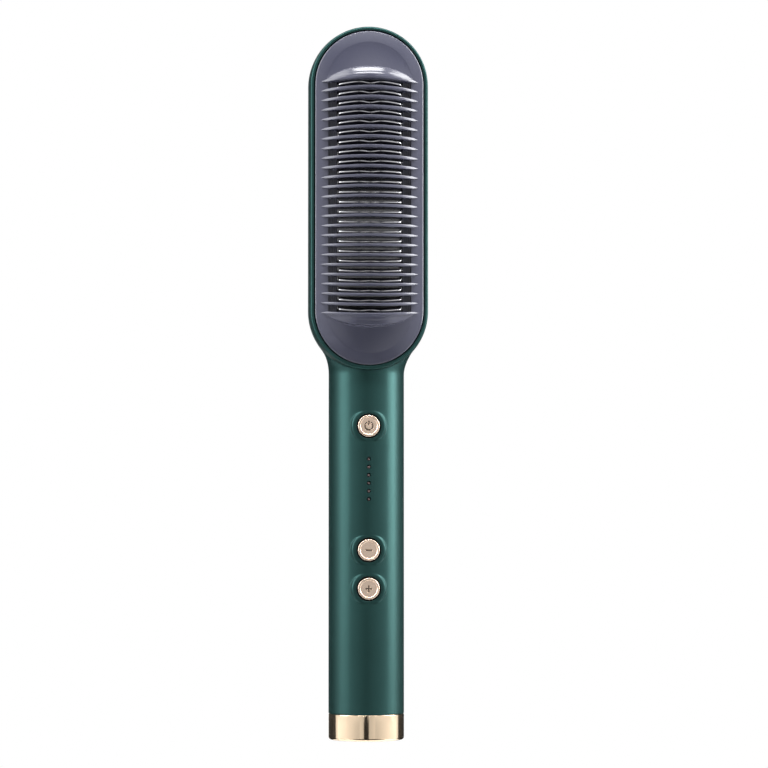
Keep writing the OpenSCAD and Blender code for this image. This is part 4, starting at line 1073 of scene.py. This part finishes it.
class HotCombSizes(bpy.types.PropertyGroup):
    """Sizes of the comb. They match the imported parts, which the pieces stand for."""

    overall_length: length("Overall length", "From the flat end of the cap to the top of the head", 0.275)
    handle_diameter: length("Handle diameter", "Diameter of the round handle", 0.0292)
    shell_wall: length("Casing wall", "Thickness of the casing", 0.002)
    head_width: length("Head width", "Width of the head across the rim", 0.0462)
    head_length: length("Head length", "Length of the head with its round ends", 0.1331)
    neck_fillet: length("Neck curve", "Radius of the hollow curve from handle to head", 0.0155)
    rim_stand: length("Rim height", "How far the rim stands in front of the handle", 0.0029)
    rim_width: length("Rim width", "Width of the rim round the comb", 0.00185)
    fin_height: length("Fin height", "Height of the comb's crest above the tips of its fins", 0.0088)
    fin_pitch: length("Fin pitch", "Distance from one fin to the next", 0.0037)
    fan_angle: FloatProperty(
        name="Fan", description="Lean of the outermost fins, in degrees", default=7.4)
    gap_count: IntProperty(
        name="Gaps", description="Number of gaps between the fins, one heated fin in each", default=24)
    button_diameter: length("Button diameter", "Diameter of a button", 0.0083)


class HotCombColours(bpy.types.PropertyGroup):
    """Colours of the comb's visible finishes."""

    casing: paint("Casing", "Dark green lacquer of the casing", 37, 68, 66)
    comb: paint("Comb", "Grey heat-resistant plastic of the comb", 70, 71, 86)
    heated: paint("Heated fins", "Coated aluminium of the heated fins", 172, 172, 176)
    cap: paint("End cap", "Champagne plating of the end cap", 240, 216, 186)
    buttons: paint("Buttons", "Satin plating of the buttons", 255, 228, 206)
    indicators: paint("Indicators", "Tinted clear plastic of the indicators", 142, 120, 120)


def picked(context, name):
    """One of the comb's colours, as it is set now."""
    return tuple(getattr(context.scene.hot_comb_colours, name))


# ---------------------------------------------------------------- operators


class HOTCOMB_OT_casing(bpy.types.Operator):
    """Make the front and rear halves of the casing"""

    bl_idname = "hotcomb.casing"
    bl_label = "Casing"

    def execute(self, context):
        m = measures(context)
        lacquer = casing_finish(picked(context, "casing"))
        front = [head_front(m), handle_front(m)]
        add_piece("front_casing", front, lacquer, "casing", "front_shell")
        add_piece("rear_casing", [rear_casing(m)], lacquer, "casing", "rear_shell")
        return {"FINISHED"}


class HOTCOMB_OT_comb(bpy.types.Operator):
    """Make the comb with its fins, sloping border and end domes"""

    bl_idname = "hotcomb.comb"
    bl_label = "Comb"

    def execute(self, context):
        plastic = comb_finish(picked(context, "comb"))
        parts = comb_parts(measures(context))
        add_piece("comb", parts, plastic, "casing", "comb_guard")
        return {"FINISHED"}


class HOTCOMB_OT_heated_fins(bpy.types.Operator):
    """Make the heated plate with a fin in each gap of the comb"""

    bl_idname = "hotcomb.heated_fins"
    bl_label = "Heated Fins"

    def execute(self, context):
        metal = heated_finish(picked(context, "heated"))
        parts = heated_parts(measures(context))
        add_piece("heated_fins", parts, metal, "casing", "heater_plate")
        return {"FINISHED"}


class HOTCOMB_OT_buttons(bpy.types.Operator):
    """Make the three plated buttons with their sunk signs"""

    bl_idname = "hotcomb.buttons"
    bl_label = "Buttons"

    def execute(self, context):
        m = measures(context)
        # the depth behind which the sunk signs are painted in shade
        painted_shade_y = -(m.handle_r + 0.13) * MM
        plating = plating_finish("button_plating", picked(context, "buttons"), 0.2, 1500, painted_shade_y)
        for kind, z in (("power", m.power_z), ("minus", m.minus_z), ("plus", m.plus_z)):
            parts = button_parts(m, z, kind)
            add_piece(f"{kind}_key", parts, plating, kind, f"{kind}_button")
        return {"FINISHED"}


class HOTCOMB_OT_indicators(bpy.types.Operator):
    """Make the clear bar whose six pins are the indicators"""

    bl_idname = "hotcomb.indicators"
    bl_label = "Indicators"

    def execute(self, context):
        clear = indicator_finish(picked(context, "indicators"))
        parts = indicator_parts(measures(context))
        add_piece("indicators", parts, clear, "casing", "light_pipe")
        return {"FINISHED"}


class HOTCOMB_OT_end(bpy.types.Operator):
    """Make the plated end cap and the turning cord inlet"""

    bl_idname = "hotcomb.end"
    bl_label = "End Cap and Inlet"

    def execute(self, context):
        m = measures(context)
        plating = plating_finish("end_plating", picked(context, "cap"), 0.06, 900)
        black = plain_finish("inlet_plastic", (0.012, 0.012, 0.013), 0.45, 2600)
        add_piece("plated_cap", cap_parts(m), plating, "casing", "end_cap")
        add_piece("cord_inlet", swivel_parts(), black, "inlet", "cord_swivel")
        return {"FINISHED"}


class HOTCOMB_OT_inner_parts(bpy.types.Operator):
    """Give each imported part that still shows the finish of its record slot"""

    bl_idname = "hotcomb.inner_parts"
    bl_label = "Inner Parts"

    def execute(self, context):
        slots = {part["node"]: part["material_slot"] for part in frame["record"]["subparts"]}
        finishes = inner_finishes()
        for name, node in frame["nodes"].items():
            finish = finishes.get(slots.get(name))
            if finish:
                node.data.materials.clear()
                node.data.materials.append(finish)
        return {"FINISHED"}


class HOTCOMB_OT_stage(bpy.types.Operator):
    """Make the white studio: camera, world, floor, lamps, and the cards that shade or light the comb"""

    bl_idname = "hotcomb.stage"
    bl_label = "Stage"

    def execute(self, context):
        make_camera(context)
        make_world(context)
        make_floor(context)
        make_lamps(context)
        make_cards(context)
        context.scene.view_settings.view_transform = "Standard"
        return {"FINISHED"}


class HOTCOMB_PT_panel(bpy.types.Panel):
    """Sidebar panel with the comb's sizes, colours and steps"""

    bl_label = "Hot Comb"
    bl_idname = "HOTCOMB_PT_panel"
    bl_space_type = "VIEW_3D"
    bl_region_type = "UI"
    bl_category = "Hot Comb"

    def draw(self, context):
        layout = self.layout
        for group in (context.scene.hot_comb_sizes, context.scene.hot_comb_colours):
            column = layout.column(align=True)
            for name in group.__annotations__:
                column.prop(group, name)
        for operator in OPERATORS:
            layout.operator(operator.bl_idname)


# ---------------------------------------------------------------- stage

TARGET = np.array([0.0069, 0.0, 0.1375])
CAMERA_DROP = 0.048
CAMERA_DISTANCE = 1.25
CAMERA_SIDE = math.radians(-4.2)
FLOOR_Z = -0.3


def look_from(place, target):
    """The turn with which an object at place points its -Z axis at the target."""
    return (Vector(target) - Vector(place)).to_track_quat("-Z", "Y").to_euler()


def make_camera(context):
    """A camera in front of the comb, a little to its left and a little low, as the photograph was taken."""
    lens = bpy.data.cameras.new("camera")
    lens.lens, lens.sensor_width = 150.9, 36
    camera = bpy.data.objects.new("camera", lens)
    back = np.array([math.sin(CAMERA_SIDE), -math.cos(CAMERA_SIDE), 0.0])
    camera.location = TARGET + CAMERA_DISTANCE * back - np.array([0.0, 0.0, CAMERA_DROP])
    camera.rotation_euler = look_from(camera.location, TARGET)
    context.scene.collection.objects.link(camera)
    context.scene.camera = camera


def make_world(context):
    """White where the camera, a reflection or clear plastic looks, and a softer grey as light."""
    context.scene.world = bpy.data.worlds.new("studio")
    studio = Nodes(context.scene.world)
    path = studio.node("ShaderNodeLightPath").outputs
    seen = Value(studio, path["Is Camera Ray"])
    for ray in ("Is Glossy Ray", "Is Transmission Ray"):
        seen = seen.maths("MAXIMUM", path[ray])
    colour = studio.blend(seen, grey(0.1), grey(1))
    studio.end(studio.node("ShaderNodeBackground", inputs={"Color": colour}), "ShaderNodeOutputWorld")


def flat_sheet(name, corners, material, context):
    """A stage sheet through four corners in metres."""
    mesh = bpy.data.meshes.new(name)
    mesh.from_pydata(corners, [], [(0, 1, 2, 3)])
    mesh.materials.append(material)
    sheet = bpy.data.objects.new(name, mesh)
    context.scene.collection.objects.link(sheet)
    return sheet


def level(half_x, near_y, far_y, z):
    """The corners of a level sheet."""
    return [(-half_x, near_y, z), (half_x, near_y, z), (half_x, far_y, z), (-half_x, far_y, z)]


def make_floor(context):
    """A white floor well below the comb, which floats in front of white as in the photograph.

    To the camera the paper is mostly its own white, so that only the comb's soft shadow shows on it. Its
    share is 0.8 below the comb and 1 far from it.
    """
    finish = Finish("floor_white")
    colour = finish.blend(finish.noise(40, 3), grey(0.9), grey(0.96))
    lit = finish.node("ShaderNodeBsdfDiffuse", inputs={"Color": colour}).outputs[0]
    own = finish.node("ShaderNodeEmission").outputs[0]
    seen = finish.value("Is Camera Ray", "ShaderNodeLightPath")
    away = (finish.axis("X") ** 2 + finish.axis("Y") ** 2) ** 0.5
    share = finish.step(away, 0.1, 0.8) * 0.2 + 0.8
    finish.end(finish.node("ShaderNodeMixShader", inputs={0: seen * share, 1: lit, 2: own}))
    flat_sheet("floor", level(1.1, -1.1, 1.1, FLOOR_Z), finish.material, context)


def make_lamps(context):
    """Two tall soft lamps beside the comb, the right one stronger, and a soft one above the camera."""
    middle = (0.0, 0.0, 0.14)
    for name, place, size, power in (
        ("left_softbox", (-0.69, -0.15, 0.46), (0.42, 0.96), 8.0),
        ("right_softbox", (0.7, -0.06, 0.46), (0.3, 0.96), 13.0),
        ("top_softbox", (0.0, -0.42, 0.97), (0.9, 0.12), 11.0),
    ):
        lamp = bpy.data.lights.new(name, "AREA")
        lamp.shape = "RECTANGLE"
        lamp.size, lamp.size_y = size
        lamp.energy = power
        box = bpy.data.objects.new(name, lamp)
        box.location = place
        box.rotation_euler = look_from(place, middle)
        box.visible_camera = False
        context.scene.collection.objects.link(box)


def make_cards(context):
    """Cards unseen by the camera: black ones that darken the comb's edges, and glowing sheets that paint
    reflections on it.

    The glowing sheet in front, a painted reflection, grows from 0.66 at its middle to white at its sides,
    over the square of the distance, and is dark above. The two low glowing sheets beside it, painted
    reflections for the end cap, grow from 0.7 to 1.5 towards the back. These sheets show in reflections only
    and light nothing. The black card just above the floor shows in reflections only, where it hides the
    floor's bright front.
    """
    card = Finish("card_black")
    base = card.blend(card.noise(300), grey(0.004), grey(0.01))
    black = card.surface(Base_Color=base, Roughness=0.9)
    # painted reflection: a glowing sheet, seen only in reflections, lighter towards its sides and dark above
    wall = Finish("wall_grey")
    light = wall.blend((wall.axis("X") * wall.axis("X")).clamped(), grey(0.66), grey(1))
    wall_grey = wall.glow(wall.blend(wall.step(wall.axis("Z"), 0.45, 0.8), light, grey(0.08)))
    # painted reflection: low glowing sheets, seen only in reflections, brighter towards the back
    screen = Finish("screen_white")
    white = screen.glow(screen.blend(screen.step(screen.axis("Y"), -1.2, 0.4), grey(0.7), grey(1.5)))
    under = flat_sheet("under_card", level(0.5, -1.1, -0.25, FLOOR_Z + 0.01), black, context)
    under.visible_camera = under.visible_diffuse = under.visible_shadow = False
    for name, (x0, y0), (x1, y1), (low, high), material in (
        ("left_card", (-0.62, 0.22), (-0.12, 0.62), (-0.7, 1.0), black),
        ("right_card", (0.62, 0.22), (0.12, 0.62), (-0.7, 1.0), black),
        ("front_card", (-0.23, -1.6), (0.0, -1.6), (-0.7, 1.0), black),
        ("low_card", (-0.32, -1.62), (0.12, -1.62), (-0.7, -0.04), black),
        ("front_wall", (-1.1, -1.8), (1.1, -1.8), (-0.8, 1.6), wall_grey),
        ("left_screen", (-0.55, -1.3), (-0.98, 0.2), (-0.28, -0.03), white),
        ("right_screen", (0.55, -1.3), (0.98, 0.2), (-0.28, -0.03), white),
    ):
        corners = [(x0, y0, low), (x1, y1, low), (x1, y1, high), (x0, y0, high)]
        sheet = flat_sheet(name, corners, material, context)
        sheet.visible_camera = False
        # the glowing sheets show in reflections only and light nothing: they are painted reflections
        sheet.visible_diffuse = sheet.visible_shadow = material is black


OPERATORS = (
    HOTCOMB_OT_casing,
    HOTCOMB_OT_comb,
    HOTCOMB_OT_heated_fins,
    HOTCOMB_OT_buttons,
    HOTCOMB_OT_indicators,
    HOTCOMB_OT_end,
    HOTCOMB_OT_inner_parts,
    HOTCOMB_OT_stage,
)
CLASSES = (HotCombSizes, HotCombColours, *OPERATORS, HOTCOMB_PT_panel)


def register():
    """Registers the classes, and gives the scene the comb's sizes and colours."""
    for cls in CLASSES:
        bpy.utils.register_class(cls)
    bpy.types.Scene.hot_comb_sizes = PointerProperty(type=HotCombSizes)
    bpy.types.Scene.hot_comb_colours = PointerProperty(type=HotCombColours)


def unregister():
    """Takes back what register did."""
    del bpy.types.Scene.hot_comb_colours
    del bpy.types.Scene.hot_comb_sizes
    for cls in reversed(CLASSES):
        bpy.utils.unregister_class(cls)


def main():
    """Makes every piece and the stage."""
    register()
    for operator in OPERATORS:
        group, name = operator.bl_idname.split(".")
        getattr(getattr(bpy.ops, group), name)()


if __name__ == "__main__":
    main()
